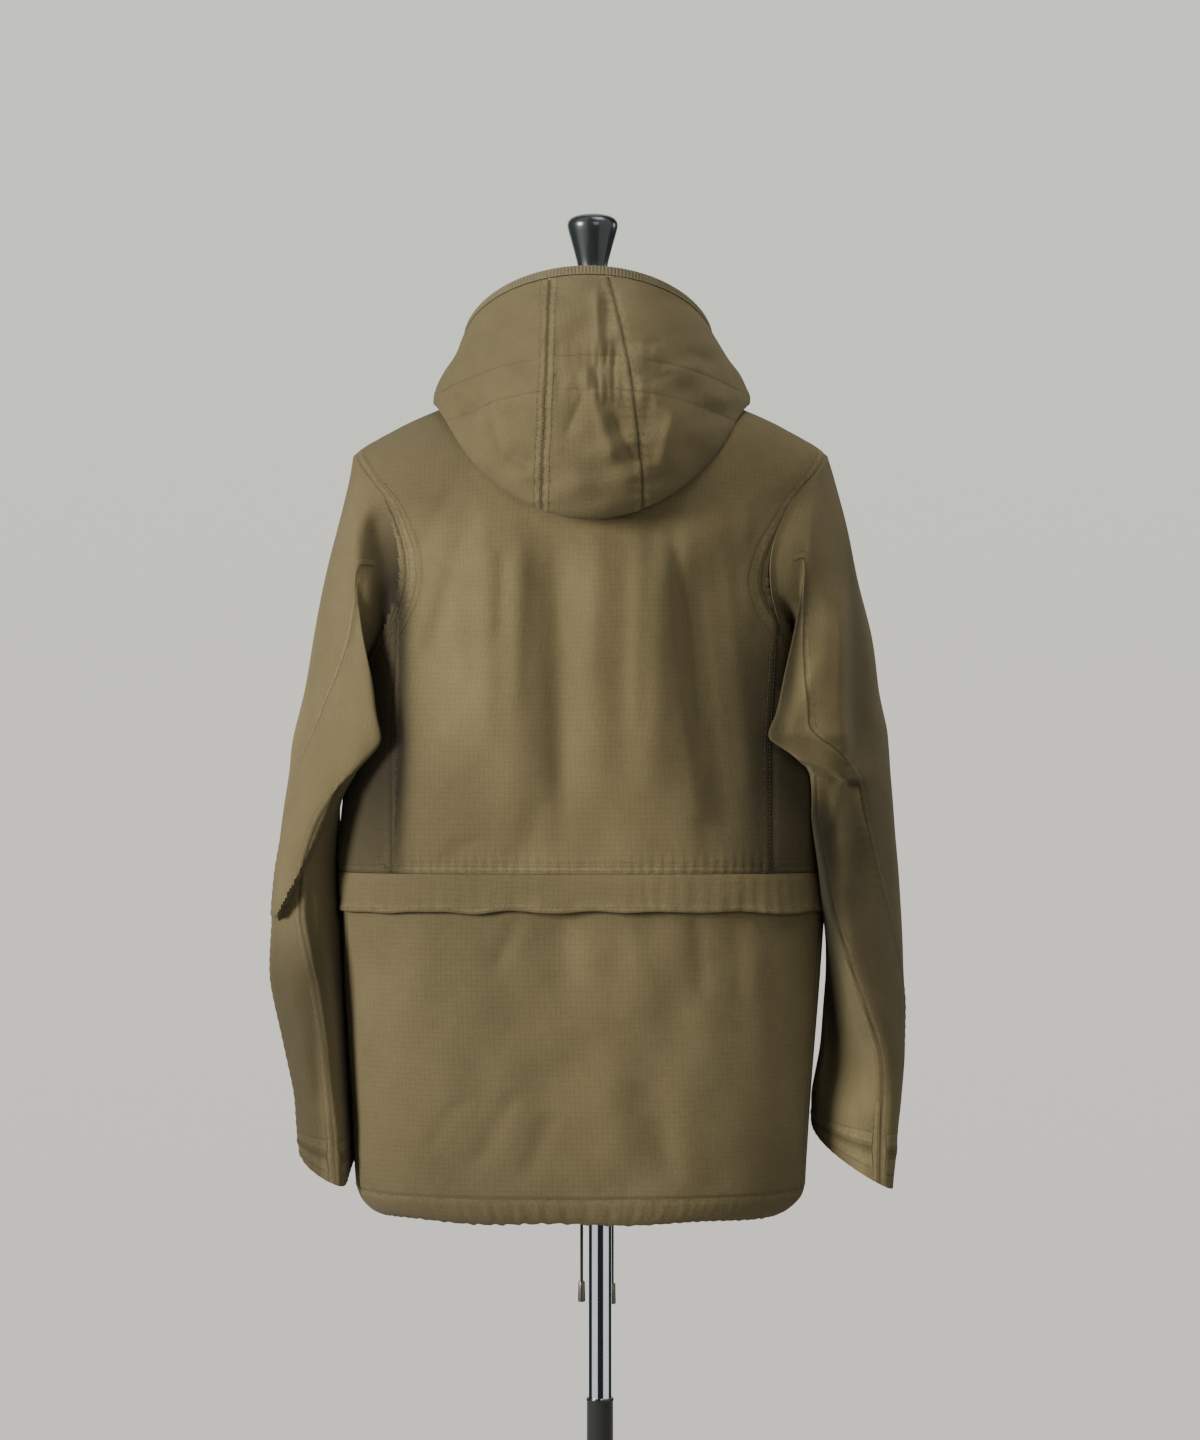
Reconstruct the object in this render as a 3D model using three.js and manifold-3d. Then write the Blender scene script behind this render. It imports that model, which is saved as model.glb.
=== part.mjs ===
// An olive anorak smock, worn by a limbless dress form on a telescopic stand.
// Millimetres, +Z up. The wearer faces +Y, so the back of the smock faces -Y and +X is the wearer's right.
import * as THREE from 'three';
import { mergeVertices } from 'three/addons/utils/BufferGeometryUtils.js';
import Module from 'manifold-3d';

const wasm = await Module();
wasm.setup();

// Driving sizes
const WALL = 1.5;                 // thickness of one layer of cloth
const SEAM_GAP = 0.3;             // space between pieces that are sewn together
const WAIST_SEAM = 1008;          // height of the seam where the waist band starts
const BAND_BOTTOM = 970;          // free lower edge of the waist band
const SKIRT_TOP = 1003;           // the skirt starts under the band
const HEM_TOP = 712;              // upper edge of the hem casing
const HEM_BOTTOM = 687;
const BACK_COLUMNS = 26;          // facets round the back half of the body
const FRONT_COLUMNS = 16;

const FORM_BOTTOM = 792;
const NECK_TOP = 1556;
const CAP_TOP = 1628;
const CAP_X = -7;
const POLE_RADIUS = 11;
const TUBE_RADIUS = 12.5;
const TUBE_TOP = 510;
const BASE_RADIUS = 170;

const CORD_RADIUS = 1.5;
const CORD_HEIGHT = 698;          // where the hem drawcord comes out of its eyelets
const CORD_ENDS = [
  { side: 'left', x: -18, bottom: 601 },
  { side: 'right', x: 12, bottom: 599 },
];

const CLOTH = new THREE.MeshStandardMaterial({ color: 0x7b6e49, roughness: 0.9 });
const CLOTH_DARK = new THREE.MeshStandardMaterial({ color: 0x5d5436, roughness: 0.95 });
const TAPE = new THREE.MeshStandardMaterial({ color: 0x675c39, roughness: 0.85 });
const PATCH = new THREE.MeshStandardMaterial({ color: 0x6f6a48, roughness: 1 });
const BLACK = new THREE.MeshStandardMaterial({ color: 0x23282a, roughness: 0.25 });
const CORD = new THREE.MeshStandardMaterial({ color: 0x2b2a20, roughness: 0.9 });
const STEEL = new THREE.MeshStandardMaterial({ color: 0x6a6457, roughness: 0.3, metalness: 1 });
const CHROME = new THREE.MeshStandardMaterial({ color: 0xd8dadc, roughness: 0.08, metalness: 1 });
const LINEN = new THREE.MeshStandardMaterial({ color: 0xcfc6b2, roughness: 0.95 });

const group = new THREE.Group();
const rad = THREE.MathUtils.degToRad;
const clamp = THREE.MathUtils.clamp;
const smooth = (a, b, x) => THREE.MathUtils.smoothstep(x, Math.min(a, b), Math.max(a, b));
const bell = (x, width) => Math.exp(-0.5 * (x / width) ** 2);
const power = (value, exponent) => Math.sign(value) * Math.abs(value) ** exponent;

function table(columns, rows) {
  return rows.map((row) => Object.fromEntries(columns.map((name, i) => [name, row[i]])));
}

// Value of one column at position x, on a smooth curve through the rows.
function along(rows, key, column, x) {
  const last = rows.length - 1;
  const at = clamp(x, rows[0][key], rows[last][key]);
  let i = 0;
  while (i < last - 1 && at > rows[i + 1][key]) i += 1;
  const slope = (k) => {
    const a = rows[Math.max(0, k - 1)];
    const b = rows[Math.min(last, k + 1)];
    return (b[column] - a[column]) / (b[key] - a[key]);
  };
  const span = rows[i + 1][key] - rows[i][key];
  const t = (at - rows[i][key]) / span;
  const rise = rows[i + 1][column] - rows[i][column];
  const t2 = t * t;
  const t3 = t2 * t;
  return rows[i][column] + rise * (3 * t2 - 2 * t3)
    + span * (slope(i) * (t3 - 2 * t2 + t) + slope(i + 1) * (t3 - t2));
}

function rowAt(rows, key, x) {
  const found = {};
  for (const column of Object.keys(rows[0])) {
    found[column] = column === key ? x : along(rows, key, column, x);
  }
  return found;
}

// Rings of the body. level is the ring's place; a ring can be higher at the sides than at the back and front.
const RING = ['level', 'zBack', 'zSide', 'zFront', 'half', 'back', 'front', 'mid', 'round', 'arch'];
const SKIRT = table(RING, [
  [687, 687, 688, 688, 190, 105, 111, -18, 2.4, 2],
  [690, 690, 691, 691, 197, 108, 114, -18, 2.4, 2],
  [697, 697, 698, 698, 205, 112, 119, -18, 2.4, 2],
  [706, 706, 706, 706, 210, 114, 121, -18, 2.4, 2],
  [716, 716, 716, 716, 212, 115, 122, -18.5, 2.4, 2],
  [800, 800, 800, 800, 217, 114, 123, -18, 2.4, 2],
  [900, 900, 900, 900, 224, 111, 122, -17, 2.4, 2],
  [965, 965, 965, 965, 227, 108.4, 119.6, -15.5, 2.4, 2],
  [1003, 1003, 1003, 1003, 228.6, 108, 119.4, -15, 2.4, 2],
]);
const UPPER = table(RING, [
  [970, 974, 970, 970, 231.5, 114, 125.5, -15, 2.4, 2],
  [1008, 1009, 1008, 1008, 232, 110.8, 122.6, -15, 2.4, 2],
  [1030, 1030, 1030, 1030, 232.5, 110, 123, -14.5, 2.4, 2],
  [1100, 1100, 1100, 1100, 227, 112, 126, -13, 2.4, 2],
  [1180, 1180, 1180, 1180, 217, 118, 130, -12, 2.4, 2],
  [1240, 1232, 1246, 1226, 213, 122, 132, -12, 2.4, 2],
  [1300, 1284, 1308, 1270, 212, 124, 130, -11, 2.4, 2],
  [1350, 1326, 1360, 1304, 217, 122, 124, -10, 2.35, 2],
  [1400, 1366, 1399, 1334, 222, 114, 112, -9, 2.3, 2],
  [1425, 1402, 1426, 1360, 180, 104, 102, -8.5, 2.2, 2],
  [1445, 1428, 1445, 1384, 138, 92, 92, -8, 2.1, 2],
  [1458, 1446, 1458, 1400, 105, 80, 84, -8, 2, 2],
  [1468, 1458, 1467, 1412, 84, 68, 76, -8, 2, 2],
]);
const NECK_SEAM = 1468;

// The hood lies back. Its rings go from the neck seam down the back, round the fold and up to the face edge.
const HOOD = table(RING, [
  [0, 1458.9, 1467.9, 1412.9, 83.8, 67.8, 75.8, -8, 2, 2],
  [1, 1467, 1475, 1420, 88, 78, 79, -8, 2, 2],
  [2, 1456, 1477, 1427, 98, 93, 83, -8, 2, 1.9],
  [3, 1422, 1472, 1433, 111, 106, 86, -8, 2, 1.8],
  [4, 1385, 1465, 1438, 125, 119, 89, -8, 2, 1.7],
  [5, 1351, 1457, 1442, 138, 129, 91, -8, 2, 1.65],
  [6, 1333, 1447, 1444, 147, 143, 93, -8, 2, 1.65],
  [7, 1343, 1454, 1446, 149, 160, 94, -8, 2, 1.6],
  [8, 1375, 1463, 1449, 146, 171, 95, -8, 2, 1.5],
  [9, 1415, 1474, 1452, 140, 174, 96, -8, 2, 1.4],
  [10, 1455, 1484, 1455, 134, 166, 97, -8.5, 2, 1.3],
  [11, 1495, 1493, 1458, 128, 148, 97, -9, 2, 1.2],
  [12, 1530, 1500, 1461, 122, 124, 97, -10, 2, 1.1],
  [13, 1558, 1505, 1464, 117, 100, 97, -11, 2, 1.1],
  [13.4, 1567, 1509, 1469, 116, 96, 97.5, -11, 2, 1.1],
]);
const HOOD_EDGE = 13;
const TAPE_EDGE = 13.4;

// Large folds of the body, as soft ridges and troughs that run from a top to a bottom point.
const FOLD = ['xTop', 'zTop', 'xBottom', 'zBottom', 'width', 'rise'];
const BACK_FOLDS = table(FOLD, [
  [-152, 1300, -158, 1110, 14, -6],
  [-92, 1325, -76, 1030, 20, 6],
  [-49, 1310, -24, 1050, 15, -5],
  [4, 1300, 0, 1100, 15, 4],
  [52, 1300, 46, 1080, 14, 5],
  [76, 1290, 118, 1035, 17, -7],
  [100, 1270, 132, 1060, 14, 3],
  [142, 1340, 150, 1120, 14, -7],
]);
const FRONT_FOLDS = table(FOLD, [
  [-140, 1290, -150, 1060, 18, -6],
  [-84, 1270, -80, 1050, 20, 5],
  [70, 1270, 76, 1040, 20, 5],
  [128, 1290, 140, 1080, 18, -6],
]);

// Folds push the cloth out at the back or front. They fade at both ends.
function foldRise(folds, x, z) {
  let rise = 0;
  for (const fold of folds) {
    const t = (fold.zTop - z) / (fold.zTop - fold.zBottom);
    const centre = THREE.MathUtils.lerp(fold.xTop, fold.xBottom, clamp(t, 0, 1));
    const fade = smooth(-0.12, 0.15, t) * (1 - smooth(0.75, 1.12, t));
    rise += fold.rise * fade * bell(x - centre, fold.width);
  }
  return rise;
}

function ring(rows, level, angle) {
  const r = rowAt(rows, 'level', level);
  const c = Math.cos(angle);
  const s = Math.sin(angle);
  const bend = 2 / r.round;
  const lift = Math.abs(s) ** r.arch;
  return new THREE.Vector3(
    r.mid + r.half * power(c, bend),
    (s < 0 ? r.back : r.front) * power(s, bend),
    THREE.MathUtils.lerp(r.zSide, s < 0 ? r.zBack : r.zFront, lift),
  );
}

function bodyPoint(level, angle) {
  const p = ring(UPPER, level, angle);
  const s = Math.sin(angle);
  p.y += s < 0 ? -foldRise(BACK_FOLDS, p.x, p.z) * s * s : foldRise(FRONT_FOLDS, p.x, p.z) * s * s;
  return p;
}

// A thin closed solid between an outer and an inner face. point(i, j) gives [outer, inner].
function shell(rows, columns, point, closedRound = false) {
  const across = closedRound ? columns : columns + 1;
  const positions = [];
  for (let i = 0; i <= rows; i += 1) {
    for (let j = 0; j < across; j += 1) {
      const [outer, inner] = point(i, j);
      positions.push(...outer.toArray(), ...inner.toArray());
    }
  }
  const at = (i, j, layer) => 2 * (i * across + (j % across)) + layer;
  const faces = [];
  const quad = (a, b, c, d) => faces.push(a, b, c, a, c, d);
  for (let i = 0; i < rows; i += 1) {
    for (let j = 0; j < columns; j += 1) {
      quad(at(i, j, 0), at(i, j + 1, 0), at(i + 1, j + 1, 0), at(i + 1, j, 0));
      quad(at(i, j, 1), at(i + 1, j, 1), at(i + 1, j + 1, 1), at(i, j + 1, 1));
    }
  }
  for (let j = 0; j < columns; j += 1) {
    quad(at(0, j, 0), at(0, j, 1), at(0, j + 1, 1), at(0, j + 1, 0));
    quad(at(rows, j, 0), at(rows, j + 1, 0), at(rows, j + 1, 1), at(rows, j, 1));
  }
  if (!closedRound) {
    for (let i = 0; i < rows; i += 1) {
      quad(at(i, 0, 0), at(i + 1, 0, 0), at(i + 1, 0, 1), at(i, 0, 1));
      quad(at(i, columns, 0), at(i, columns, 1), at(i + 1, columns, 1), at(i + 1, columns, 0));
    }
  }
  return turnedOut(geometryOf(positions, faces));
}

function geometryOf(positions, faces) {
  const geometry = new THREE.BufferGeometry();
  geometry.setAttribute('position', new THREE.Float32BufferAttribute(positions, 3));
  geometry.setIndex(faces);
  return geometry;
}

function volumeOf(geometry) {
  const index = geometry.index.array;
  const p = geometry.attributes.position;
  const [a, b, c] = [new THREE.Vector3(), new THREE.Vector3(), new THREE.Vector3()];
  let six = 0;
  for (let i = 0; i < index.length; i += 3) {
    a.fromBufferAttribute(p, index[i]);
    b.fromBufferAttribute(p, index[i + 1]);
    c.fromBufferAttribute(p, index[i + 2]);
    six += a.dot(b.cross(c));
  }
  return six / 6;
}

// The faces of a closed mesh, turned to point out.
function turnedOut(geometry) {
  if (volumeOf(geometry) > 0) return geometry;
  const index = geometry.index.array;
  for (let i = 0; i < index.length; i += 3) {
    [index[i + 1], index[i + 2]] = [index[i + 2], index[i + 1]];
  }
  return geometry;
}

// A closed solid through a stack of rings, closed at both ends by a point.
function stack(rings, bottom, top) {
  const columns = rings[0].length;
  const positions = rings.flat().flatMap((p) => p.toArray());
  positions.push(...bottom.toArray(), ...top.toArray());
  const foot = rings.length * columns;
  const head = foot + 1;
  const faces = [];
  for (let i = 0; i + 1 < rings.length; i += 1) {
    for (let j = 0; j < columns; j += 1) {
      const k = (j + 1) % columns;
      faces.push(i * columns + j, i * columns + k, (i + 1) * columns + k);
      faces.push(i * columns + j, (i + 1) * columns + k, (i + 1) * columns + j);
    }
  }
  const last = (rings.length - 1) * columns;
  for (let j = 0; j < columns; j += 1) {
    const k = (j + 1) % columns;
    faces.push(foot, k, j);
    faces.push(head, last + j, last + k);
  }
  return turnedOut(geometryOf(positions, faces));
}

// The outward normal of a surface given as a function of two parameters.
function normalOf(surface, u, v, stepU, stepV, flip = 1) {
  const du = surface(u + stepU, v).sub(surface(u - stepU, v));
  const dv = surface(u, v + stepV).sub(surface(u, v - stepV));
  return du.cross(dv).normalize().multiplyScalar(flip);
}

function toSolid(geometry) {
  const bare = geometry.clone();
  bare.deleteAttribute('normal');
  bare.deleteAttribute('uv');
  const merged = mergeVertices(bare, 1e-4);
  return new wasm.Manifold(new wasm.Mesh({
    numProp: 3,
    vertProperties: new Float32Array(merged.attributes.position.array),
    triVerts: new Uint32Array(merged.index.array),
  }));
}

function fromSolid(solid) {
  const mesh = solid.getMesh();
  return geometryOf(Array.from(mesh.vertProperties), Array.from(mesh.triVerts));
}

function add(name, geometry, material) {
  const mesh = new THREE.Mesh(geometry, material);
  mesh.name = name;
  group.add(mesh);
  return mesh;
}

// Angles round the body, closer together at the back. 270 degrees is the middle of the back.
const ANGLES = [];
for (let j = 0; j < BACK_COLUMNS; j += 1) ANGLES.push(rad(180 + 180 * j / BACK_COLUMNS));
for (let j = 0; j < FRONT_COLUMNS; j += 1) ANGLES.push(rad(360 + 180 * j / FRONT_COLUMNS));
const COLUMNS = ANGLES.length;
const STEP_ANGLE = 0.004;
const STEP_LEVEL = 0.5;

function bodyNormal(level, angle) {
  const lifted = clamp(level, UPPER[0].level + STEP_LEVEL, NECK_SEAM - STEP_LEVEL);
  return normalOf((u, v) => bodyPoint(v, u), angle, lifted, STEP_ANGLE, STEP_LEVEL);
}

const UPPER_LEVELS = [
  WAIST_SEAM, 1070, 1130, 1185, 1220, 1255, 1290, 1320, 1350, 1376, 1400, 1425, 1445, 1458, NECK_SEAM,
];

function bodyShell() {
  return shell(UPPER_LEVELS.length - 1, COLUMNS, (i, j) => {
    const outer = bodyPoint(UPPER_LEVELS[i], ANGLES[j]);
    const inner = bodyNormal(UPPER_LEVELS[i], ANGLES[j]).multiplyScalar(-WALL).add(outer);
    return [outer, inner];
  }, true);
}

// An armhole is an ellipse as seen from the side of the body.
const ARMHOLE = { y: -3, z: 1290, halfWidth: 83, halfHeight: 110 };

function armholeCutter(side) {
  const ellipse = new THREE.Shape();
  ellipse.absellipse(ARMHOLE.y, ARMHOLE.z, ARMHOLE.halfWidth, ARMHOLE.halfHeight, 0, 2 * Math.PI);
  const length = 260;
  const geometry = new THREE.ExtrudeGeometry(ellipse, { depth: length, bevelEnabled: false, curveSegments: 32 });
  // The shape's x and y become the body's y and z, and it is extruded along x.
  geometry.applyMatrix4(new THREE.Matrix4().makeBasis(
    new THREE.Vector3(0, 1, 0), new THREE.Vector3(0, 0, 1), new THREE.Vector3(1, 0, 0),
  ));
  geometry.translate(side > 0 ? 60 : -60 - length, 0, 0);
  return toSolid(geometry);
}

// The part of space that holds the back panel: between the two side-back seams below the armholes,
// and everything behind the shoulder seam above them.
const SIDE_BACK_SEAM = { left: -193, right: 158, leftTop: -187, rightTop: 165, bend: 1130, top: 1252 };
const SHOULDER_SEAM_Y = 4;

function backRegion(grow) {
  const s = SIDE_BACK_SEAM;
  const far = 400;
  const outline = new THREE.Shape([
    new THREE.Vector2(s.left - grow, 900),
    new THREE.Vector2(s.right + grow, 900),
    new THREE.Vector2(s.right + grow, s.bend),
    new THREE.Vector2(s.rightTop + grow, s.top - grow),
    new THREE.Vector2(far, s.top - grow),
    new THREE.Vector2(far, 1600),
    new THREE.Vector2(-far, 1600),
    new THREE.Vector2(-far, s.top - grow),
    new THREE.Vector2(s.leftTop - grow, s.top - grow),
    new THREE.Vector2(s.left - grow, s.bend),
  ]);
  const depth = 400;
  const geometry = new THREE.ExtrudeGeometry(outline, { depth, bevelEnabled: false });
  geometry.rotateX(Math.PI / 2);
  geometry.translate(0, SHOULDER_SEAM_Y + grow, 0);
  return toSolid(geometry);
}

function largestPiece(solid) {
  return solid.decompose().reduce((best, piece) => (piece.volume() > best.volume() ? piece : best));
}

const whole = toSolid(bodyShell()).subtract(armholeCutter(1)).subtract(armholeCutter(-1));
add('upper_back', fromSolid(largestPiece(whole.intersect(backRegion(-SEAM_GAP / 2)))), CLOTH);
add('upper_front', fromSolid(largestPiece(whole.subtract(backRegion(SEAM_GAP / 2)))), CLOTH);

// A panel of the body moved out from the cloth below it, between two levels and two angles.
function bodyPatch(levels, angles, low, high, surface, normal) {
  return shell(levels.length - 1, angles.length - 1, (i, j) => {
    const base = surface(levels[i], angles[j]);
    const out = normal(levels[i], angles[j]);
    return [base.clone().addScaledVector(out, high), base.clone().addScaledVector(out, low)];
  });
}

function spread(from, to, count) {
  return Array.from({ length: count + 1 }, (_, i) => from + (to - from) * i / count);
}

const PLACKET_ANGLES = [rad(445), rad(450), rad(455)];
const PLACKET_LIFT = 1;
add('front_placket', bodyPatch(
  spread(1290, NECK_SEAM - 3, 8), PLACKET_ANGLES, PLACKET_LIFT, PLACKET_LIFT + WALL,
  bodyPoint, bodyNormal,
), CLOTH);

// The waist band hangs from the waist seam over the top of the skirt.
const BAND_LEVELS = [BAND_BOTTOM, WAIST_SEAM - SEAM_GAP];
add('waist_band', shell(BAND_LEVELS.length - 1, COLUMNS, (i, j) => {
  const outer = ring(UPPER, BAND_LEVELS[i], ANGLES[j]);
  const normal = normalOf((u, v) => ring(UPPER, v, u), ANGLES[j], Math.max(BAND_LEVELS[i], 971), STEP_ANGLE, STEP_LEVEL);
  return [outer, outer.clone().addScaledVector(normal, -WALL)];
}, true), CLOTH);

const skirtPoint = (level, angle) => ring(SKIRT, level, angle);
function skirtNormal(level, angle) {
  const inside = clamp(level, HEM_BOTTOM + STEP_LEVEL, SKIRT_TOP - STEP_LEVEL);
  return normalOf((u, v) => skirtPoint(v, u), angle, inside, STEP_ANGLE, STEP_LEVEL);
}

// The skirt is a back and a front panel, joined by side seams a little behind the sides.
const SKIRT_LEVELS = [HEM_TOP + SEAM_GAP, 780, 850, 930, SKIRT_TOP];
const SKIRT_SEAMS = { left: 194, right: 346 };
function skirtPanel(name, from, to, columns) {
  const trim = SEAM_GAP / 2 / 100;
  const angles = spread(rad(from) + trim, rad(to) - trim, columns);
  add(name, shell(SKIRT_LEVELS.length - 1, columns, (i, j) => {
    const outer = skirtPoint(SKIRT_LEVELS[i], angles[j]);
    const normal = skirtNormal(SKIRT_LEVELS[i], angles[j]);
    return [outer, outer.clone().addScaledVector(normal, -WALL)];
  }), CLOTH);
}
skirtPanel('skirt_back', SKIRT_SEAMS.left, SKIRT_SEAMS.right, 22);
skirtPanel('skirt_front', SKIRT_SEAMS.right, 360 + SKIRT_SEAMS.left, 22);

// The hem casing is gathered on its drawcord, so its lower edge waves in and out.
const HEM_WAVES = 76;
const HEM_WAVE = 1.6;
const HEM_LEVELS = [HEM_BOTTOM, 697, HEM_TOP];
const HEM_COLUMNS = 2 * HEM_WAVES;
add('hem_casing', shell(HEM_LEVELS.length - 1, HEM_COLUMNS, (i, j) => {
  const angle = 2 * Math.PI * j / HEM_COLUMNS;
  const level = HEM_LEVELS[i];
  const normal = skirtNormal(level, angle);
  const wave = (j % 2 ? 0 : -HEM_WAVE) * smooth(HEM_TOP, HEM_BOTTOM, level) ** 0.5;
  const still = 1 - smooth(HEM_TOP - 2, HEM_BOTTOM, level);
  const front = skirtPoint(level, angle).y > 100 && Math.abs(skirtPoint(level, angle).x) < 40;
  const outer = skirtPoint(level, angle).addScaledVector(normal, front ? wave * still * 0.3 : wave);
  return [outer, outer.clone().addScaledVector(normal, -WALL)];
}, true), CLOTH);

// Half the width of the body at a height below the armholes, at a depth y, measured on its surface.
function bodySide(y, z, side) {
  const rows = z < BAND_BOTTOM - 4 ? SKIRT : UPPER;
  const r = rowAt(rows, 'level', clamp(z, rows[0].level, 1180));
  const depth = y < 0 ? r.back : r.front;
  const share = Math.abs(y) / depth;
  if (share >= 1) return null;
  return r.mid + side * r.half * (1 - share ** r.round) ** (1 / r.round);
}

// The point of the body's surface at the side, at depth y and height z, where rings aren't level.
function armholeX(y, z, side) {
  const angleAt = (level) => {
    const r = rowAt(UPPER, 'level', level);
    const depth = y < 0 ? r.back : r.front;
    const s = power(y / depth, r.round / 2);
    return side > 0 ? Math.asin(s) : Math.PI - Math.asin(s);
  };
  let low = 1150;
  let high = 1402;
  for (let k = 0; k < 40; k += 1) {
    const middle = (low + high) / 2;
    if (ring(UPPER, middle, angleAt(middle)).z < z) low = middle;
    else high = middle;
  }
  return ring(UPPER, low, angleAt(low)).x;
}

// Sleeve sections, from the armhole to the cuff. Each passes through an outer, a back, an inner and a front point.
// tilt raises the outer point and lowers the inner one, and drop lowers the back one and raises the front one.
const SECTION = ['z', 'tilt', 'out', 'inn', 'backX', 'backY', 'frontX', 'frontY', 'drop'];
const LEFT_SLEEVE = {
  side: -1,
  outerColumns: 12,
  underColumns: 13,
  sections: table(SECTION, [
    [1273, 95, -238.5, -230, -221, -81, -224.5, 75, 0],
    [1236, 66, -256, -232, -220, -87, -232, 82, 0],
    [1195, 36, -270, -235, -212, -92, -240, 87, 0],
    [1160, 18, -279, -238, -208, -95, -246, 90, 0],
    [1134, 8, -287, -240, -204, -95, -253, 92, 0],
    [1119, 4, -291, -242, -214, -87, -256, 93, 0],
    [1100, 0, -293.5, -243, -232, -78, -259, 94, 0],
    [1060, 0, -299, -246, -260, -72, -266, 93, 0],
    [1010, 0, -304, -251, -277, -67, -270, 90, 0],
    [965, 0, -307, -251, -279, -65, -272, 88, 0],
    [908, 0, -311, -248, -266, -64, -272, 86, 0],
    [850, 0, -299.5, -244, -257, -62, -266, 84, 0],
    [800, 0, -287.5, -240.5, -252, -58, -258, 82, 0],
    [766, 2, -284.5, -238.3, -249, -55, -256, 80, 6],
    [738, 9, -281.5, -238, -247, -50, -254, 78.5, 21],
  ]),
  foldLine: [[-202, 1127], [-245, 1085], [-260, 1046], [-279, 1008], [-300, 968]],
  foldDepth: 13,
  seam: [[0.5, 86], [1, 78], [2, 72], [3, 54], [4, 38], [5, 28], [7, 23], [11, 20], [15, 18]],
};
const RIGHT_SLEEVE = {
  side: 1,
  outerColumns: 11,
  underColumns: 12,
  sections: table(SECTION, [
    [1279, 97, 222, 207, 185, -84, 203, 76, 0],
    [1240, 66, 239, 208, 180, -92, 211, 84, 0],
    [1195, 36, 254, 212, 171, -98, 222, 88, 0],
    [1160, 18, 261.5, 215, 164, -102, 230, 90, 0],
    [1136, 8, 267, 217, 157, -106, 235, 92, 0],
    [1119, 4, 270, 218, 180, -94, 238, 92, 0],
    [1100, 0, 272.6, 219, 198, -84, 240, 92, 0],
    [1060, 0, 277, 221, 201, -80, 244, 92, 0],
    [1010, 0, 281.5, 222, 209, -78, 246, 90, 0],
    [970, 0, 283.5, 219, 217, -76, 248, 88, 0],
    [919, 0, 286, 214, 233, -74, 250, 86, 0],
    [882, 0, 289, 211, 246, -72, 250, 84, 0],
    [840, 0, 287, 208.5, 259, -70, 248, 84, 0],
    [800, 0, 279.5, 202, 261, -66, 240, 84, 0],
    [776, -4, 275, 201.6, 260, -63, 237, 82, 8],
    [745, -18, 269.5, 201.5, 259, -58, 235, 80, 26],
  ]),
  foldLine: [[155, 1128], [165, 1118], [193, 1111], [213, 1104], [231, 1092]],
  foldDepth: 17,
  seam: [[0.5, 86], [1, 78], [2, 74], [4, 60], [6, 50], [9, 34], [11, 16], [13, 8], [16, 4]],
};
const SLEEVE_CLEARANCE = 5;
const ARMHOLE_SHRINK = 0.9;         // the sleeve starts just inside the armhole's edge
const ARMHOLE_REACH = 1.6;

function sectionPoint(sleeve, k, turn) {
  const c = Math.cos(turn);
  const s = Math.sin(turn);
  if (k <= 0) {
    const y = ARMHOLE.y - (ARMHOLE.halfWidth - ARMHOLE_SHRINK) * s;
    const z = ARMHOLE.z + (ARMHOLE.halfHeight - ARMHOLE_SHRINK) * c;
    return new THREE.Vector3(armholeX(y, z, sleeve.side) + sleeve.side * ARMHOLE_REACH, y, z);
  }
  const r = sleeve.sections[Math.min(k, sleeve.sections.length) - 1];
  const middle = (r.out + r.inn) / 2;
  return new THREE.Vector3(
    middle + (r.out - r.inn) / 2 * c + (r.backX - r.frontX) / 2 * s
      + ((r.backX + r.frontX) / 2 - middle) * s * s,
    -(r.frontY - r.backY) / 2 * s + (r.backY + r.frontY) / 2 * s * s,
    r.z + r.tilt * c - r.drop * s,
  );
}

function lineHeight(line, x) {
  const sorted = [...line].sort((a, b) => a[0] - b[0]);
  let i = 0;
  while (i < sorted.length - 2 && x > sorted[i + 1][0]) i += 1;
  const [[x0, z0], [x1, z1]] = [sorted[i], sorted[i + 1]];
  return z0 + (z1 - z0) * clamp((x - x0) / (x1 - x0), -1, 1);
}

// Below the fold at the elbow the cloth lies deeper, under the fold's edge.
function elbowStep(sleeve, p, turn) {
  const below = lineHeight(sleeve.foldLine, p.x) - p.z;
  const backness = Math.sqrt(Math.max(0, Math.sin(turn)));
  return sleeve.foldDepth * backness * smooth(0, 10, below) * (1 - smooth(14, 110, below));
}

const TENSION = 0.4;
function sleevePoint(sleeve, t, turn) {
  const count = sleeve.sections.length;
  const k = Math.min(Math.floor(t), count - 1);
  const f = t - k;
  const [p0, p1, p2, p3] = [k - 1, k, k + 1, k + 2].map((n) => sectionPoint(sleeve, clamp(n, 0, count), turn));
  const m1 = p2.clone().sub(p0).multiplyScalar(TENSION);
  const m2 = p3.clone().sub(p1).multiplyScalar(TENSION);
  const f2 = f * f;
  const f3 = f2 * f;
  const p = p1.clone().multiplyScalar(2 * f3 - 3 * f2 + 1)
    .addScaledVector(m1, f3 - 2 * f2 + f)
    .addScaledVector(p2, 3 * f2 - 2 * f3)
    .addScaledVector(m2, f3 - f2);
  p.y += elbowStep(sleeve, p, turn);
  if (p.z < ARMHOLE.z - ARMHOLE.halfHeight + 4) {
    const edge = bodySide(p.y, p.z, sleeve.side);
    if (edge !== null) {
      const least = edge + sleeve.side * SLEEVE_CLEARANCE;
      p.x = sleeve.side > 0 ? Math.max(p.x, least) : Math.min(p.x, least);
    }
  }
  return p;
}

function sleeveNormal(sleeve, t, turn) {
  const inside = clamp(t, 0.05, sleeve.sections.length - 0.02);
  return normalOf((u, v) => sleevePoint(sleeve, v, u), turn, inside, 0.02, 0.04, -sleeve.side);
}

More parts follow.
